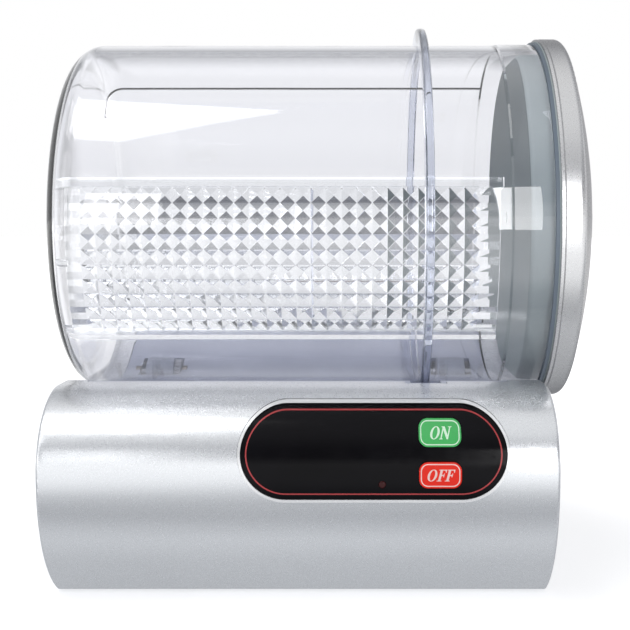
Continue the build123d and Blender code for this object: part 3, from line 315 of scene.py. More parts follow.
level = addNode(tree, "ShaderNodeMapRange", {
    0: fromMiddle, 1: floorValues["glowBlend"][0], 2: floorValues["glowBlend"][1],
    3: floorValues["glow"][0], 4: floorValues["glow"][1]}, interpolation_type="SMOOTHSTEP")
glow = addNode(tree, "ShaderNodeEmission", {"Color": (1, 1, 1, 1), "Strength": level})
glowing = addNode(tree, "ShaderNodeAddShader", {0: paint, 1: glow})
# in reflections it is a table whose near part lies in the shade
rearward = addNode(tree, "ShaderNodeSeparateXYZ", {0: place}).outputs["Y"]
away = addNode(tree, "ShaderNodeMath", {0: rearward}, operation="ABSOLUTE")
tableColour = addNode(tree, "ShaderNodeValToRGB", {0: away}, floorValues["table"])
table = addNode(tree, "ShaderNodeEmission", {"Color": tableColour, "Strength": floorValues["tableStrength"]})
behindColour = addNode(tree, "ShaderNodeValToRGB", {0: rearward}, floorValues["through"])
behind = addNode(tree, "ShaderNodeEmission", {"Color": behindColour})
through = seenThrough(tree, path)
seen = addNode(tree, "ShaderNodeMath", {
    0: path["Is Camera Ray"], 1: path["Is Transmission Ray"]}, operation="MAXIMUM")
plain = addNode(tree, "ShaderNodeMixShader", {0: seen, 1: paint, 2: glowing})
mirrored = addNode(tree, "ShaderNodeMixShader", {0: path["Is Glossy Ray"], 1: plain, 2: table})
whole = addNode(tree, "ShaderNodeMixShader", {0: through, 1: mirrored, 2: behind})
addNode(tree, "ShaderNodeOutputMaterial", {"Surface": whole})
floorMesh = bpy.data.meshes.new("floor")
half, sunk = floorValues["half"], floorValues["sunk"]
corners = [(-half, -half, -sunk), (half, -half, -sunk), (half, half, -sunk), (-half, half, -sunk)]
floorMesh.from_pydata(corners, [], [(0, 1, 2, 3)])
floor = bpy.data.objects.new("floor", floorMesh)
scene.collection.objects.link(floor)
setMaterial(floor, floorMaterial)
print("light and floor set")

# materials
silverValues = {"colour": "#E5E7EA", "dark": "#E1E3E6", "metallic": 0.75, "roughness": 0.28,
                "smoother": 0.01, "rougher": 0.02, "flake": 0.30 * mm, "peel": 3.0 * mm, "flakeShare": 0.06,
                "relief": 0.03 * mm, "reliefStrength": 0.035, "lacquer": 0.25, "lacquerRoughness": 0.18,
                "edge": "#FFFFFF"}


def silverPaint(name, values):
    # aluminium-flake paint under a satin lacquer on moulded ABS: fine sparkle, soft broad highlights.
    # real flakes are near 0.05 mm; they are drawn 0.3 mm across so that they show
    material, tree = newMaterial(name)
    place = addNode(tree, "ShaderNodeTexCoord").outputs["Object"]
    flakes = addNode(tree, "ShaderNodeTexVoronoi", {"Vector": place, "Scale": 1 / values["flake"]})
    flake = addNode(tree, "ShaderNodeSeparateColor", {0: flakes.outputs["Color"]})
    colour = addNode(tree, "ShaderNodeMix", {
        0: flake, 6: hexToLinear(values["dark"]), 7: hexToLinear(values["colour"])}, data_type="RGBA")
    roughness = addNode(tree, "ShaderNodeMapRange", {
        0: flake, 3: values["roughness"] - values["smoother"], 4: values["roughness"] + values["rougher"]})
    peel = addNode(tree, "ShaderNodeTexNoise", {"Vector": place, "Scale": 1 / values["peel"], "Detail": 2.0})
    height = addNode(tree, "ShaderNodeMath", {
        0: flake, 1: values["flakeShare"], 2: peel}, operation="MULTIPLY_ADD")
    bump = addNode(tree, "ShaderNodeBump", {
        "Strength": values["reliefStrength"], "Distance": values["relief"], "Height": height})
    shader = addNode(tree, "ShaderNodeBsdfPrincipled", {
        "Base Color": colour, "Metallic": values["metallic"], "Roughness": roughness, "Normal": bump,
        "Coat Weight": values["lacquer"], "Coat Roughness": values["lacquerRoughness"],
        "Specular Tint": hexToLinear(values["edge"])})
    addNode(tree, "ShaderNodeOutputMaterial", {"Surface": shader})
    return material


noiseSpan = {1: 0.3, 2: 0.7}  # a noise's usual lowest and highest value, as a Map Range node's inputs


def unevenSurface(tree, values, tone, grain, colours, roughness, depth, inputs):
    # the colour varies with one noise, and the roughness and the fine relief with another
    shade = addNode(tree, "ShaderNodeMapRange", {0: tone, **noiseSpan})
    colour = addNode(tree, "ShaderNodeMix", {0: shade, 6: colours[0], 7: colours[1]}, data_type="RGBA")
    rough = addNode(tree, "ShaderNodeMapRange", {
        0: grain, **noiseSpan, 3: roughness - values["smoother"], 4: roughness + values["rougher"]})
    bump = addNode(tree, "ShaderNodeBump", {"Strength": values["relief"], "Distance": depth, "Height": grain})
    shader = addNode(tree, "ShaderNodeBsdfPrincipled", {
        "Base Color": colour, "Roughness": rough, "Normal": bump, **inputs})
    addNode(tree, "ShaderNodeOutputMaterial", {"Surface": shader})


plasticValues = {"flowMarks": 45.0,  # per metre, or 22 mm apart
                 "darkening": 0.90, "smoother": 0.04, "rougher": 0.06, "relief": 0.35, "coatRoughness": 0.08}


def mouldedPlastic(name, colour, roughness, grain, depth, metallic=0.0, second=None, coat=0.0, shine=0.5):
    # injection-moulded plastic: an even colour with faint flow marks and the grain of a spark-eroded mould
    material, tree = newMaterial(name)
    place = addNode(tree, "ShaderNodeTexCoord").outputs["Object"]
    flow = addNode(tree, "ShaderNodeTexNoise", {
        "Vector": place, "Scale": plasticValues["flowMarks"], "Detail": 2.0, "Roughness": 0.45})
    grains = addNode(tree, "ShaderNodeTexNoise", {
        "Vector": place, "Scale": 1 / grain, "Detail": 3.0, "Roughness": 0.6})
    first = hexToLinear(colour)
    darker = tuple(part * plasticValues["darkening"] for part in first[:3]) + (1.0,)
    colours = (hexToLinear(second) if second else darker, first)
    unevenSurface(tree, plasticValues, flow, grains, colours, roughness, depth, {
        "Metallic": metallic, "Coat Weight": coat, "Coat Roughness": plasticValues["coatRoughness"],
        "Specular IOR Level": shine})
    return material


plugValues = {
    # the flat face's and the wall's colours, each at the high and the low end of the fade; the wall's are
    # painted light, lighter than the same plastic on the face
    "face": ("#697477", "#9AA5A6"), "wall": ("#AAB4B6", "#8E989A"), "fade": (45 * mm, -55 * mm),
    "faceRadius": 75.6 * mm, "roughness": 0.5, "shine": 0.1,
}


def plugPlasticPaintedLight(name):
    # satin grey ABS of the lid's plug, with painted light: the wall is painted lighter than the flat face,
    # though both are the same plastic; the face grows paler and the wall darker towards the bottom
    material, tree = newMaterial(name)
    place = addNode(tree, "ShaderNodeTexCoord").outputs["Object"]
    place = addNode(tree, "ShaderNodeSeparateXYZ", {0: place}).outputs
    upward = addNode(tree, "ShaderNodeMath", {0: place["Z"], 1: axisHeight}, operation="SUBTRACT")
    spoke = addNode(tree, "ShaderNodeCombineXYZ", {1: place["Y"], 2: upward})
    fromAxis = addNode(tree, "ShaderNodeVectorMath", {0: spoke}, operation="LENGTH")
    high, low = plugValues["fade"]
    lowness = addNode(tree, "ShaderNodeMapRange", {0: upward, 1: high, 2: low})
    faded = {}
    for part in ("face", "wall"):
        upper, lower = (hexToLinear(code) for code in plugValues[part])
        faded[part] = addNode(tree, "ShaderNodeMix", {0: lowness, 6: upper, 7: lower}, data_type="RGBA")
    # painted light: beyond the face's radius the wall takes the lighter colours
    paintedLitWall = addNode(tree, "ShaderNodeMath", {
        0: fromAxis, 1: plugValues["faceRadius"]}, operation="GREATER_THAN")
    colour = addNode(tree, "ShaderNodeMix", {
        0: paintedLitWall, 6: faded["face"], 7: faded["wall"]}, data_type="RGBA")
    shader = addNode(tree, "ShaderNodeBsdfPrincipled", {
        "Base Color": colour, "Roughness": plugValues["roughness"],
        "Specular IOR Level": plugValues["shine"]})
    addNode(tree, "ShaderNodeOutputMaterial", {"Surface": shader})
    return material


metalValues = {"darkening": 0.8, "smoother": 0.06, "rougher": 0.08, "relief": 0.25, "depth": 0.02 * mm,
               "marksAround": 30.0}  # marks per metre round a turned bar, so that they run as long rings


def metalPart(name, colour, roughness, mark, turned):
    # turned bars have fine rings round the X axis, and pressed, sintered or zinc-plated metal has even marks
    material, tree = newMaterial(name)
    place = addNode(tree, "ShaderNodeTexCoord").outputs["Object"]
    around = metalValues["marksAround"] if turned else 1 / mark
    stretched = addNode(tree, "ShaderNodeMapping", {"Vector": place, "Scale": (1 / mark, around, around)})
    marks = addNode(tree, "ShaderNodeTexNoise", {"Vector": stretched, "Scale": 1.0, "Detail": 3.0})
    bright = hexToLinear(colour)
    dull = tuple(part * metalValues["darkening"] for part in bright[:3]) + (1.0,)
    unevenSurface(tree, metalValues, marks, marks, (dull, bright), roughness, metalValues["depth"],
                  {"Metallic": 1.0})
    return material


clearValues = {"shadow": "#F3F4F8", "rippleStrength": 0.3}


def clearPlastic(name, tint, ior, ripple, rippleSize):
    # polished clear moulding: colourless with a faint cast, slight ripples that bend the reflections.
    # lamp rays pass straight through, so that what is inside is lit
    material, tree = newMaterial(name)
    place = addNode(tree, "ShaderNodeTexCoord").outputs["Object"]
    waves = addNode(tree, "ShaderNodeTexNoise", {
        "Vector": place, "Scale": 1 / rippleSize, "Detail": 1.0, "Roughness": 0.4})
    bump = addNode(tree, "ShaderNodeBump", {
        "Strength": clearValues["rippleStrength"], "Distance": ripple, "Height": waves})
    clear = addNode(tree, "ShaderNodeBsdfPrincipled", {
        "Base Color": hexToLinear(tint), "Roughness": 0.0, "IOR": ior, "Transmission Weight": 1.0,
        "Normal": bump})
    path = addNode(tree, "ShaderNodeLightPath").outputs
    through = addNode(tree, "ShaderNodeBsdfTransparent", {"Color": hexToLinear(clearValues["shadow"])})
    mix = addNode(tree, "ShaderNodeMixShader", {0: path["Is Shadow Ray"], 1: clear, 2: through})
    addNode(tree, "ShaderNodeOutputMaterial", {"Surface": mix})
    return material


# name: (colour, roughness, size of the grain and its depth in millimetres, what else differs)
plastics = {
    "blueGreyAbs": ("#C3C8D6", 0.34, 0.8, 0.02, {"metallic": 0.25, "second": "#B6BBCA"}),  # pearly tray
    "coverAbs": ("#4C4E53", 0.55, 0.6, 0.05, {}),  # matt underside
    "nitrileFoot": ("#1E1F21", 0.72, 0.5, 0.04, {}),  # dull rubber
    "chromedAbs": ("#F4F5F6", 0.22, 1.5, 0.01, {"metallic": 0.35, "second": "#EEEFF1"}),  # bright thin rim
    "pianoBlackAcrylic": ("#0E0D11", 0.16, 6, 0.01, {"second": "#0A090C", "shine": 0.10}),  # deep gloss
    "redLens": ("#3A0E10", 0.15, 2, 0.005, {"shine": 0.2}),  # unlit light
    "circuitBoard": ("#1F5B36", 0.38, 0.8, 0.03, {}),  # satin green lacquer
    "blackNylon": ("#1B1C1E", 0.45, 0.7, 0.02, {}),  # satin switches and inlet
    "whiteAcetal": ("#C9CACC", 0.42, 0.8, 0.02, {}),  # waxy hubs
    "siliconeTyre": ("#A9AFBC", 0.50, 0.5, 0.03, {}),  # pale, dull rubber
    "greenAbs": ("#3FB25C", 0.20, 2, 0.01, {"second": "#46BA62", "coat": 0.3}),  # glossy button
    "redAbs": ("#E5200F", 0.20, 2, 0.01, {"second": "#EA2814", "shine": 0.25}),  # strong red, less gloss
    "paleGreenInk": ("#D9F7DD", 0.40, 0.5, 0.005, {}),  # screen prints, nearly flat
    "palePinkInk": ("#FBD9D3", 0.40, 0.5, 0.005, {}),  # the same on red
    "redInk": ("#B3393C", 0.40, 0.5, 0.005, {}),  # the panel's thin line
    "greyAbs": ("#7B8689", 0.50, 0.8, 0.015, {"second": "#747F82", "shine": 0.0}),  # matt stem
    "darkSilicone": ("#6F7B88", 0.48, 0.6, 0.03, {}),  # soft seals
    "darkAbs": ("#3A3F46", 0.40, 0.7, 0.03, {}),  # satin knob
}
# name: (colour, roughness, size of the marks in millimetres, whether it is a turned bar)
metals = {
    "groundSteel": ("#B9BBBF", 0.28, 0.25, True),  # bright, with fine rings
    "zincSteel": ("#A7AAAE", 0.34, 0.5, False),  # pale and evenly dull
    "sinteredBronze": ("#8E857A", 0.42, 0.4, False),  # brownish and grainy
}
# name: (cast, IOR, depth and size of the ripples in millimetres)
clearPlastics = {
    "clearSan": ("#FCFCFE", 1.57, 0.05, 22),  # drum
    "clearSanRing": ("#DDE1EC", 1.57, 0.05, 22),  # seen along its breadth, it looks blue-grey
    "clearPolystyrene": ("#FBFCFC", 1.50, 0.01, 9),  # kneading plate, crisp and nearly without ripples
}
lidSilver = {"colour": "#DADADB", "dark": "#D6D6D7", "lacquer": 0.05, "edge": "#8C8C8E"}
materials = {
    "silverPaintedAbs": silverPaint("silverPaintedAbs", silverValues),
    "silverPaintedLid": silverPaint("silverPaintedLid", {**silverValues, **lidSilver}),
    "plugAbs": plugPlasticPaintedLight("plugAbs"),
}
for name, (colour, roughness, grain, depth, others) in plastics.items():
    materials[name] = mouldedPlastic(name, colour, roughness, grain * mm, depth * mm, **others)
for name, (colour, roughness, mark, turned) in metals.items():
    materials[name] = metalPart(name, colour, roughness, mark * mm, turned)
for name, (cast, ior, ripple, rippleSize) in clearPlastics.items():
    materials[name] = clearPlastic(name, cast, ior, ripple * mm, rippleSize * mm)

# finish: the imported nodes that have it
finishNodes = {
    "silverPaintedAbs": "base_shell", "silverPaintedLid": "lid_cap", "blueGreyAbs": "cradle_tray",
    "coverAbs": "bottom_cover", "nitrileFoot": "rubber_feet", "chromedAbs": "panel_bezel",
    "pianoBlackAcrylic": "control_panel", "redLens": "status_led", "circuitBoard": "timer_board",
    "blackNylon": "tact_switches power_inlet", "greenAbs": "on_button", "redAbs": "off_button",
    "groundSteel": "idle_axles drive_axle motor_shaft valve_spring",
    "sinteredBronze": "drive_bushes motor_pinion",
    "zincSteel": "cover_screws board_screws bracket_screws gear_motor motor_bracket inlet_nut",
    "clearSan": "drum_shell", "clearSanRing": "guide_ring", "clearPolystyrene": "kneading_plate",
    "plugAbs": "lid_plug", "darkSilicone": "lid_gasket valve_seal", "greyAbs": "valve_stem",
    "darkAbs": "valve_knob",
}
rollers = ("rear_left", "rear_right", "front_left", "front_right")
finishNodes["whiteAcetal"] = " ".join(roller + "_hub" for roller in rollers)
finishNodes["siliconeTyre"] = " ".join(roller + "_tyre" for roller in rollers)
nodeFinishes = {node: finish for finish, members in finishNodes.items() for node in members.split()}
for node, finish in nodeFinishes.items():
    setMaterial(nodes[node], materials[finish])
print("materials made:", len(materials))

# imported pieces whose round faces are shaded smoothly
bodies = frame["record"]["behaviour"]["bodies"]
bodyOf = {node: body for body, members in bodies.items() for node in members}
smoothNodes = ["base_shell", "cradle_tray", "control_panel", "panel_bezel", "on_button", "off_button",
               "lid_cap", "lid_plug", "lid_gasket", "valve_knob", "rubber_feet", "valve_spring"]
smoothNodes += [roller + part for roller in rollers for part in ("_hub", "_tyre")]
for node in smoothNodes:
    words = node.split("_")
    name = words[0] + "".join(word.capitalize() for word in words[1:])
    piece = newPiece(name, mergedCopy(node, name), materials[nodeFinishes[node]], bodyOf[node])
    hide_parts(node)
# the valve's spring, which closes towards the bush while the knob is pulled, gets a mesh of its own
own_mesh(bpy.data.objects["valveSpring"])
print("packed pieces smoothed:", len(smoothNodes))

# prints on the panel and the buttons, laid on the front's curve
frontValues = {"belly": 99.5, "bellyHeight": 59.0, "land": 64.5, "landHeight": 88.6, "floor": 65.5,
               "floorHeight": 1.0}
printValues = {
    "proud": 0.03, "sunk": 0.06, "offCorners": 0.0007,
    "capital": 4.7, "slant": 0.26, "nudge": 0.2,
    "buttonX": 43.0, "buttonWidth": 17.0, "buttonHeight": 10.4, "buttonCorner": 3.6, "buttonProud": 0.7,
    "buttonLine": 0.42, "buttonInset": 1.25,
    "panelProud": 0.25, "panelInset": 3.9, "panelLine": 0.55, "panelSlack": 0.001,
}
# body: (word, height of its middle, ink, slot)
buttonWords = {"on_button": ("ON", 73.1, "paleGreenInk", "button_green"),
               "off_button": ("OFF", 56.8, "palePinkInk", "button_red")}


def frontDepth(z, grow):
    # how far forward the base's front is at a height, moved outwards by grow; millimetres
    v = frontValues
    if z > v["bellyHeight"]:
        part = (z - v["bellyHeight"]) / (v["landHeight"] - v["bellyHeight"] + grow)
        return -(v["land"] + (v["belly"] - v["land"] + grow) * math.sqrt(1 - part * part))
    inwards = v["belly"] - v["floor"]
    bend = (inwards ** 2 + (v["bellyHeight"] - v["floorHeight"]) ** 2) / (2 * inwards)
    return -(v["belly"] - bend + math.sqrt((bend + grow) ** 2 - (v["bellyHeight"] - z) ** 2))


def printOn(name, loops, grow, material, body, slices=8):
    # loops: closed outlines of (x, z) in millimetres; the print is a thin closed skin on the curved front
    flat = bmesh.new()
    edges = []
    for loop in loops:
        corners = [flat.verts.new((x, 0, z)) for x, z in loop]
        edges += [flat.edges.new(pair) for pair in zip(corners, corners[1:] + corners[:1])]
    bmesh.ops.triangle_fill(flat, edges=edges, use_beauty=True, normal=(0, -1, 0))
    heights = [vert.co.z for vert in flat.verts]
    for k in range(1, slices):
        level = min(heights) + (max(heights) - min(heights)) * k / slices + printValues["offCorners"]
        whole = flat.verts[:] + flat.edges[:] + flat.faces[:]
        bmesh.ops.bisect_plane(flat, geom=whole, plane_co=(0, 0, level), plane_no=(0, 0, 1))
    flat.verts.index_update()
    work = bmesh.new()
    layers = []
    for lift in (grow + printValues["proud"], grow - printValues["sunk"]):
        layers.append([work.verts.new((vert.co.x * mm, frontDepth(vert.co.z, lift) * mm, vert.co.z * mm))
                       for vert in flat.verts])
    for face in flat.faces:
        numbers = [vert.index for vert in face.verts]
        work.faces.new([layers[0][k] for k in numbers])
        work.faces.new([layers[1][k] for k in reversed(numbers)])
    for edge in flat.edges:
        if len(edge.link_faces) == 1:
            a, b = edge.verts[0].index, edge.verts[1].index
            work.faces.new([layers[0][a], layers[0][b], layers[1][b], layers[1][a]])
    flat.free()
    return newPiece(name, closedMesh(name, work, meshValues["fineSharp"]), material, body)


def roundedOutline(centre, width, height, corner, steps):
    x, z = centre
    points = []
    for start, (sx, sz) in ((0, (1, 1)), (90, (-1, 1)), (180, (-1, -1)), (270, (1, -1))):
        middle = (x + sx * (width / 2 - corner), z + sz * (height / 2 - corner))
        points += arcPoints(middle, corner, start, start + 90, steps)
    return points


def lineLoops(centre, width, height, corner, line, steps=10):
    # both edges of an even line: width, height and corner are its outer edge's
    return [roundedOutline(centre, width, height, corner, steps),
            roundedOutline(centre, width - 2 * line, height - 2 * line, corner - line, steps)]


def ovalOutline(centre, width, height, steps=40):
    points = []
    for k in range(steps):
        turn = 2 * math.pi * k / steps
        points.append((centre[0] + width / 2 * math.cos(turn), centre[1] + height / 2 * math.sin(turn)))
    return points


# slanted serif capitals, drawn in parts of the capital's height
capitals = {
    "O": {"loops": [ovalOutline((0.40, 0.5), 0.80, 1.02), ovalOutline((0.40, 0.5), 0.40, 0.90)],
          "advance": 0.86},
    "N": {"loops": [[
        (0, 0), (0.30, 0), (0.30, 0.05), (0.20, 0.07), (0.20, 0.72), (0.64, 0), (0.76, 0), (0.76, 0.93),
        (0.86, 0.95), (0.86, 1), (0.56, 1), (0.56, 0.95), (0.66, 0.93), (0.66, 0.33), (0.27, 1), (0, 1),
        (0, 0.95), (0.10, 0.93), (0.10, 0.07), (0, 0.05)]], "advance": 0.86},
    "F": {"loops": [[
        (0, 0), (0.42, 0), (0.42, 0.05), (0.32, 0.07), (0.32, 0.46), (0.46, 0.46), (0.51, 0.34), (0.55, 0.34),
        (0.55, 0.68), (0.51, 0.68), (0.46, 0.55), (0.32, 0.55), (0.32, 0.93), (0.53, 0.93), (0.62, 0.74),
        (0.67, 0.74), (0.66, 1), (0, 1), (0, 0.95), (0.12, 0.93), (0.12, 0.07), (0, 0.05)]], "advance": 0.70},
}


def buttonPrint(body, word, height, ink):
    # the word at the button's middle and a thin line inside its edge
    v = printValues
    width = sum(capitals[letter]["advance"] for letter in word) * v["capital"]
    at = v["buttonX"] - width / 2 - v["slant"] * v["capital"] / 2 + v["nudge"]
    for place, letter in enumerate(word):
        loops = []
        for loop in capitals[letter]["loops"]:
            slanted = [(x + v["slant"] * z, z - 0.5) for x, z in loop]
            loops.append([(at + x * v["capital"], height + z * v["capital"]) for x, z in slanted])
        printOn(word.lower() + "Letter" + str(place), loops, v["buttonProud"], materials[ink], body)
        at += capitals[letter]["advance"] * v["capital"]
    inset = v["buttonInset"]
    loops = lineLoops((v["buttonX"], height), v["buttonWidth"] - inset, v["buttonHeight"] - inset,
                      v["buttonCorner"] - inset / 2, v["buttonLine"])
    printOn(word.lower() + "Outline", loops, v["buttonProud"], materials[ink], body)


for body, (word, height, ink, slot) in buttonWords.items():
    buttonPrint(body, word, height, ink)
panelLow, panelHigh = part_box("control_panel")
panelMiddle = ((panelLow.x + panelHigh.x) / 2 / mm, (panelLow.z + panelHigh.z) / 2 / mm)
lineWidth = (panelHigh.x - panelLow.x) / mm - printValues["panelInset"]
lineHeight = (panelHigh.z - panelLow.z) / mm - printValues["panelInset"]
lineCorner = lineHeight / 2 - printValues["panelSlack"]  # the ends are all but half circles
loops = lineLoops(panelMiddle, lineWidth, lineHeight, lineCorner, printValues["panelLine"], 32)
printOn("panelLine", loops, printValues["panelProud"], materials["redInk"], "base", 16)
print("prints laid on the panel and the buttons")

# clear drum, turned from its wall's outline; millimetres and degrees
drumValues = {"wall": 2.8, "endWall": 3.4, "endRound": 13.5, "insideRound": 8.0, "bandLength": 18.0,
              "bandRise": 0.5, "bandSlope": 1.0, "mouthRound": 0.5, "sharp": 25}
ribValues = {"turn": 149.6, "width": 1.6, "height": 1.0, "innerRadius": 60.0, "fromMouth": 18.0, "end": 0.1}
left, mouth = drumLow.x / mm, drumHigh.x / mm
bandRadius = (drumHigh.z - axisHeight) / mm
outer = bandRadius - drumValues["bandRise"]
inner = outer - drumValues["wall"]


def drumProfile(rib):
    # the wall's outline; inside it is raised by the rib's height
    v = drumValues
    floorX = left + v["endWall"]
    band = mouth - v["bandLength"]
    ribEnd = mouth - ribValues["fromMouth"]
    points = [(left, 0)]
    points += arcPoints((left + v["endRound"], outer - v["endRound"]), v["endRound"], 180, 90, 20)
    points += [(band, outer), (band + v["bandSlope"], bandRadius)]
    points += arcPoints((mouth - v["mouthRound"], bandRadius - v["mouthRound"]), v["mouthRound"], 90, 0, 4)
    points += arcPoints((mouth - v["mouthRound"], inner + v["mouthRound"]), v["mouthRound"], 0, -90, 4)
    points += [(ribEnd + ribValues["end"], inner), (ribEnd, inner - rib)]
    middle = (floorX + v["insideRound"], inner - v["insideRound"])
    points += arcPoints(middle, v["insideRound"] - rib, 90, 180, 20)
    points += [(floorX + rib, ribValues["innerRadius"])]
    points += [(floorX, ribValues["innerRadius"] - ribValues["end"]), (floorX, 0)]
    return inMetres(points)


# the rib's rounded cross-section: steps across its half width, and the share of its height at each
ribShares = ((-1, 0), (-0.94, 0.45), (-0.75, 0.78), (-0.4, 0.96), (0, 1),
             (0.4, 0.96), (0.75, 0.78), (0.94, 0.45), (1, 0))
ribHalf = math.degrees(ribValues["width"] / 2 / inner)
acrossRib = [(ribValues["turn"] + step * ribHalf, share) for step, share in ribShares]
drumMesh = lathe("drumShell", drumProfile(0), drumValues["sharp"],
                 rib=(drumProfile(ribValues["height"]), acrossRib))
drum = newPiece("drumShell", drumMesh, materials["clearSan"], "drum")
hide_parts("drum_shell")

# guide ring, with rounded rim
ringValues = {"rimRound": 1.2, "gap": 0.05, "sharp": 25}
ringLow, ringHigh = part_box("guide_ring")
ringLeft, ringRight = ringLow.x / mm, ringHigh.x / mm
ringRadius = (ringHigh.z - axisHeight) / mm
rimRound = ringValues["rimRound"]
profile = [(ringLeft, outer + ringValues["gap"])]
profile += arcPoints((ringLeft + rimRound, ringRadius - rimRound), rimRound, 180, 90, 6)
profile += arcPoints((ringRight - rimRound, ringRadius - rimRound), rimRound, 90, 0, 6)
profile += [(ringRight, outer + ringValues["gap"])]
ringMesh = lathe("guideRing", inMetres(profile), ringValues["sharp"])
ring = newPiece("guideRing", ringMesh, materials["clearSanRing"], "drum")
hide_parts("guide_ring")
print("drum and ring made")

# silver lip of the lid's cap round the gasket's outer edge
trimValues = {"left": 94.3, "right": 95.7, "inner": 83.85, "outer": 84.9, "bevel": 0.15}
profile = [(trimValues["left"], trimValues["inner"]),
           (trimValues["left"], trimValues["outer"] - trimValues["bevel"]),
           (trimValues["left"] + trimValues["bevel"], trimValues["outer"]),
           (trimValues["right"], trimValues["outer"]), (trimValues["right"], trimValues["inner"])]
trimMesh = lathe("lidTrim", inMetres(profile))
newPiece("lidTrim", trimMesh, materials["silverPaintedLid"], "lid")


# pieces whose shape follows a rule, made by Geometry Nodes
def geometryTree(name, inputs):
    # inputs: the labels and values of the tree's inputs; gives the tree, its inputs and their identifiers
    kinds = {int: "NodeSocketInt", float: "NodeSocketFloat", Vector: "NodeSocketVector",
             bpy.types.Material: "NodeSocketMaterial"}
    tree = bpy.data.node_groups.new(name, "GeometryNodeTree")
    tree.interface.new_socket("Geometry", in_out="OUTPUT", socket_type="NodeSocketGeometry")
    tree.interface.new_socket("Geometry", in_out="INPUT", socket_type="NodeSocketGeometry")
    labels = {}
    for label, value in inputs.items():
        socket = tree.interface.new_socket(label, in_out="INPUT", socket_type=kinds[type(value)])
        labels[label] = socket.identifier
    return tree, addNode(tree, "NodeGroupInput").outputs, labels


def finishTree(tree, geometry, material):
    whole = addNode(tree, "GeometryNodeRealizeInstances", {"Geometry": geometry})
    painted = addNode(tree, "GeometryNodeSetMaterial", {"Geometry": whole, "Material": material})
    addNode(tree, "NodeGroupOutput", {0: painted})


def treeMesh(name, tree, labels, values, start=None):
    # the tree's result as a plain mesh
    holder = bpy.data.objects.new(name + "Start", start or bpy.data.meshes.new(name + "Start"))
    scene.collection.objects.link(holder)
    modifier = holder.modifiers.new(name, "NODES")
    modifier.node_group = tree
    for label, value in values.items():
        modifier[labels[label]] = value
    scene.view_layers[0].update()
    mesh = bpy.data.meshes.new_from_object(holder.evaluated_get(bpy.context.evaluated_depsgraph_get()))
    bpy.data.objects.remove(holder)
    mesh.name = name
    return mesh


# kneading plate: pyramids that point at the axis, between plain strips; turns are degrees from straight down
plateSizes = {"left": -112.0, "right": 69.7, "topTurn": -98.6, "bottomTurn": -50.0, "backRadius": 77.3}
plateValues = {
    "Columns": 26, "Rows": 10, "Pyramid Height": 2.0 * mm, "Strip Ridge": 0.6 * mm,
    "Left": plateSizes["left"] * mm, "Right": plateSizes["right"] * mm, "Left Strip": 5.8 * mm,
    "Right Strip": 8.4 * mm, "Top Turn": math.radians(plateSizes["topTurn"]),
    "Bottom Turn": math.radians(plateSizes["bottomTurn"]), "Web Radius": 75.9 * mm,
    "Back Radius": plateSizes["backRadius"] * mm, "Axis Height": axisHeight,
    "Material": materials["clearPolystyrene"],
}
tree, given, labels = geometryTree("kneadingPlateTree", plateValues)
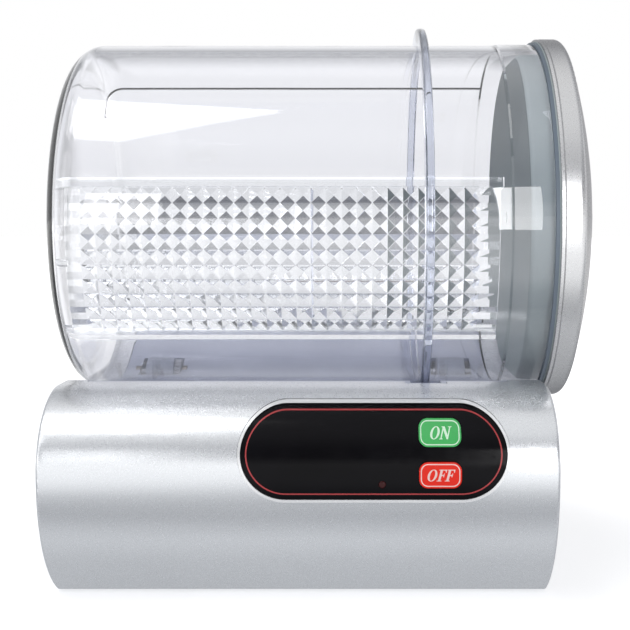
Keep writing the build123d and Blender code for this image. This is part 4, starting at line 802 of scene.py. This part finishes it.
# each row: a name, what is worked out, and from what: numbers, the tree's inputs and names of rows above.
# block x, y and z are the place of a point in the block from which the plate is bent, each from -0.5 to 0.5
plateSteps = (
    # one column of points for each half pyramid, and one more at both ends
    ("points across", "MULTIPLY_ADD", "Columns", 2.0, 3.0),
    ("points down", "MULTIPLY_ADD", "Rows", 2.0, 1.0),
    ("last across", "SUBTRACT", "points across", 1.0),
    ("last down", "SUBTRACT", "points down", 1.0),
    # a point's number across and down
    ("from left", "ADD", "block x", 0.5),
    ("number across", "MULTIPLY", "from left", "last across"),
    ("across", "ROUND", "number across"),
    ("from top", "ADD", "block y", 0.5),
    ("number down", "MULTIPLY", "from top", "last down"),
    ("down", "ROUND", "number down"),
    # its place along the drum: even steps in the field, and both ends past the plain strips
    ("field left", "ADD", "Left", "Left Strip"),
    ("field right", "SUBTRACT", "Right", "Right Strip"),
    ("field length", "SUBTRACT", "field right", "field left"),
    ("field steps", "MULTIPLY", "Columns", 2.0),
    ("step", "DIVIDE", "field length", "field steps"),
    ("number in field", "SUBTRACT", "across", 1.0),
    ("even x", "MULTIPLY_ADD", "number in field", "step", "field left"),
    ("is first", "LESS_THAN", "across", 0.5),
    ("to left end", "SUBTRACT", "Left", "even x"),
    ("left x", "MULTIPLY_ADD", "is first", "to left end", "even x"),
    ("before last", "SUBTRACT", "points across", 1.5),
    ("is last", "GREATER_THAN", "across", "before last"),
    ("to right end", "SUBTRACT", "Right", "left x"),
    ("x", "MULTIPLY_ADD", "is last", "to right end", "left x"),
    # its turn round the axis
    ("share down", "DIVIDE", "down", "last down"),
    ("whole turn", "SUBTRACT", "Bottom Turn", "Top Turn"),
    ("turn", "MULTIPLY_ADD", "share down", "whole turn", "Top Turn"),
    # how far it stands up: a peak where both numbers are odd, a low ridge in the strips
    ("odd down", "MODULO", "down", 2.0),
    ("after strip", "ADD", "across", 1.0),
    ("odd across", "MODULO", "after strip", 2.0),
    ("is peak", "MULTIPLY", "odd down", "odd across"),
    ("peak", "MULTIPLY", "is peak", "Pyramid Height"),
    ("ridge", "MULTIPLY", "odd down", "Strip Ridge"),
    ("in left strip", "LESS_THAN", "across", 1.5),
    ("before strip", "SUBTRACT", "points across", 2.5),
    ("in right strip", "GREATER_THAN", "across", "before strip"),
    ("in strips", "ADD", "in left strip", "in right strip"),
    ("in strip", "MINIMUM", "in strips", 1.0),
    ("ridge less peak", "SUBTRACT", "ridge", "peak"),
    ("rise", "MULTIPLY_ADD", "in strip", "ridge less peak", "peak"),
    # the front carries the pyramids and the back is smooth
    ("front radius", "SUBTRACT", "Web Radius", "rise"),
    ("front less back", "SUBTRACT", "front radius", "Back Radius"),
    ("is front", "GREATER_THAN", "block z", 0.0),
    ("radius", "MULTIPLY_ADD", "is front", "front less back", "Back Radius"),
    ("sine", "SINE", "turn"),
    ("y", "MULTIPLY", "radius", "sine"),
    ("cosine", "COSINE", "turn"),
    ("drop", "MULTIPLY", "radius", "cosine"),
    ("z", "SUBTRACT", "Axis Height", "drop"),
)
blockPlace = addNode(tree, "GeometryNodeInputPosition")
blockPlace = addNode(tree, "ShaderNodeSeparateXYZ", {0: blockPlace}).outputs
known = {socket.name: socket for socket in given}
known.update({"block x": blockPlace["X"], "block y": blockPlace["Y"], "block z": blockPlace["Z"]})
for name, operation, *terms in plateSteps:
    inputs = {place: known.get(term, term) for place, term in enumerate(terms)}
    known[name] = addNode(tree, "ShaderNodeMath", inputs, operation=operation)
block = addNode(tree, "GeometryNodeMeshCube", {
    "Size": (1, 1, 1), "Vertices X": known["points across"], "Vertices Y": known["points down"],
    "Vertices Z": 2})
curved = addNode(tree, "ShaderNodeCombineXYZ", {0: known["x"], 1: known["y"], 2: known["z"]})
bent = addNode(tree, "GeometryNodeSetPosition", {"Geometry": block, "Position": curved})
faceted = addNode(tree, "GeometryNodeTriangulate", {0: bent}, quad_method="LONGEST_DIAGONAL")
joined = addNode(tree, "GeometryNodeMeshBoolean", {1: faceted}, operation="UNION")
tree.links.new(given["Geometry"], joined.inputs[1])
finishTree(tree, joined, given["Material"])

# lips along both long edges, and a tab that meets the drum's closed end; they round its inner corner
lipValues = {
    # each long edge: (turn, which way the lip stands from it, thickness, inner radius, right end)
    "edges": ((plateSizes["topTurn"], -1, 3.7, 72.6, plateSizes["right"] + 1.5),
              (plateSizes["bottomTurn"], 1, 2.8, 73.6, plateSizes["right"])),
    "outer": 79.0, "overlap": 0.12, "cornerX": -108.4, "cornerRadius": 68.5, "corner": 10.5,
    "tabTurn": -74.6, "tabWidth": 2.2, "tabInner": 73.5, "tabOuter": 77.2, "tabRight": -111.5,
}


def cornerArc(low, high, steps):
    # the rounded corner's arc from one radius to another
    v = lipValues
    shares = [(radius - v["cornerRadius"]) / v["corner"] for radius in (low, high)]
    start, end = (180 - math.degrees(math.asin(share)) for share in shares)
    return arcPoints((v["cornerX"], v["cornerRadius"]), v["corner"], start, end, steps)


def sector(work, outline, fromTurn, toTurn, steps=4):
    # a closed (x, radius) outline in millimetres, swept between two turns from straight down
    layers = []
    for k in range(steps + 1):
        turn = math.radians(fromTurn + (toTurn - fromTurn) * k / steps)
        layer = []
        for x, radius in inMetres(outline):
            layer.append(work.verts.new((x, radius * math.sin(turn), axisHeight - radius * math.cos(turn))))
        layers.append(layer)
    for first, second in zip(layers, layers[1:]):
        for k in range(len(outline)):
            after = (k + 1) % len(outline)
            work.faces.new([first[k], second[k], second[after], first[after]])
    work.faces.new(layers[0])
    work.faces.new(list(reversed(layers[-1])))


perMillimetre = math.degrees(1 / plateSizes["backRadius"])  # degrees for a millimetre round the plate's back
work = bmesh.new()
for edgeTurn, away, thick, low, right in lipValues["edges"]:
    outline = cornerArc(low, lipValues["cornerRadius"] + lipValues["corner"], 8)
    outline += [(right, lipValues["outer"]), (right, low)]
    turns = sorted((edgeTurn - away * lipValues["overlap"], edgeTurn + away * thick * perMillimetre))
    sector(work, outline, *turns)
tabHalf = lipValues["tabWidth"] / 2 * perMillimetre
outline = cornerArc(lipValues["tabInner"], lipValues["tabOuter"], 4)
outline += [(lipValues["tabRight"], lipValues["tabOuter"]), (lipValues["tabRight"], lipValues["tabInner"])]
sector(work, outline, lipValues["tabTurn"] - tabHalf, lipValues["tabTurn"] + tabHalf)
lips = closedMesh("kneadingPlateLips", work)
plateMesh = treeMesh("kneadingPlate", tree, labels, plateValues, lips)

# the pyramids' ridges are a little blunt and catch the light
ridgeValues = {"blunt": 0.16 * mm, "tipGap": 0.02 * mm, "tipEdges": 5, "fold": 0.3, "sharp": 12}
work = bmesh.new()
work.from_mesh(plateMesh)
bmesh.ops.remove_doubles(work, verts=work.verts, dist=meshValues["samePoint"])
tipRadius = plateValues["Web Radius"] - plateValues["Pyramid Height"]
tips = set()
for vert in work.verts:
    offTip = abs(math.hypot(vert.co.y, vert.co.z - axisHeight) - tipRadius)
    inside = plateValues["Left"] < vert.co.x < plateValues["Right"]
    if offTip < ridgeValues["tipGap"] and inside and len(vert.link_edges) > ridgeValues["tipEdges"]:
        tips.add(vert)
ridges = []
for edge in work.edges:
    fromTip = (edge.verts[0] in tips) != (edge.verts[1] in tips)
    if fromTip and edge.calc_face_angle(0) > ridgeValues["fold"]:
        ridges.append(edge)
bmesh.ops.bevel(work, geom=ridges, offset=ridgeValues["blunt"], offset_type="OFFSET", segments=1, profile=0.5,
                affect="EDGES", clamp_overlap=True)
bmesh.ops.delete(work, geom=[edge for edge in work.edges if not edge.link_faces], context="EDGES")
openEdges = sum(1 for edge in work.edges if len(edge.link_faces) != 2)
plateMesh = closedMesh("kneadingPlate", work, ridgeValues["sharp"])
plate = newPiece("kneadingPlate", plateMesh, materials["clearPolystyrene"], "drum")
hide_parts("kneading_plate")
print("kneading plate:", len(plateMesh.polygons), "faces,", len(ridges), "ridges,", openEdges, "open edges")

# ribs round the valve knob
knobLow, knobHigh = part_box("valve_knob")
knobMiddle = (knobLow.x + knobHigh.x) / 2
knobValues = {
    "Count": 36, "Corners": 12, "Ring Radius": 11.25 * mm, "Rib Radius": 0.45 * mm, "Rib Length": 2.2 * mm,
    "Middle": Vector((knobMiddle - 0.1 * mm, 0, axisHeight)), "Material": materials["darkAbs"],
}
tree, given, labels = geometryTree("knobRibTree", knobValues)
ringPoints = addNode(tree, "GeometryNodeMeshCircle", {
    "Vertices": given["Count"], "Radius": given["Ring Radius"]})
rib = addNode(tree, "GeometryNodeMeshCylinder", {
    "Vertices": given["Corners"], "Radius": given["Rib Radius"], "Depth": given["Rib Length"]})
placed = addNode(tree, "GeometryNodeInstanceOnPoints", {"Points": ringPoints, "Instance": rib})
stood = addNode(tree, "GeometryNodeTransform", {
    "Geometry": placed, "Translation": given["Middle"], "Rotation": (0, math.radians(90), 0)})
finishTree(tree, stood, given["Material"])
ribMesh = treeMesh("knobRibs", tree, labels, knobValues)
smoothByAngle(ribMesh, meshValues["fineSharp"])
newPiece("knobRibs", ribMesh, materials["darkAbs"], "valve")
print("knob ribs:", len(ribMesh.polygons), "faces")
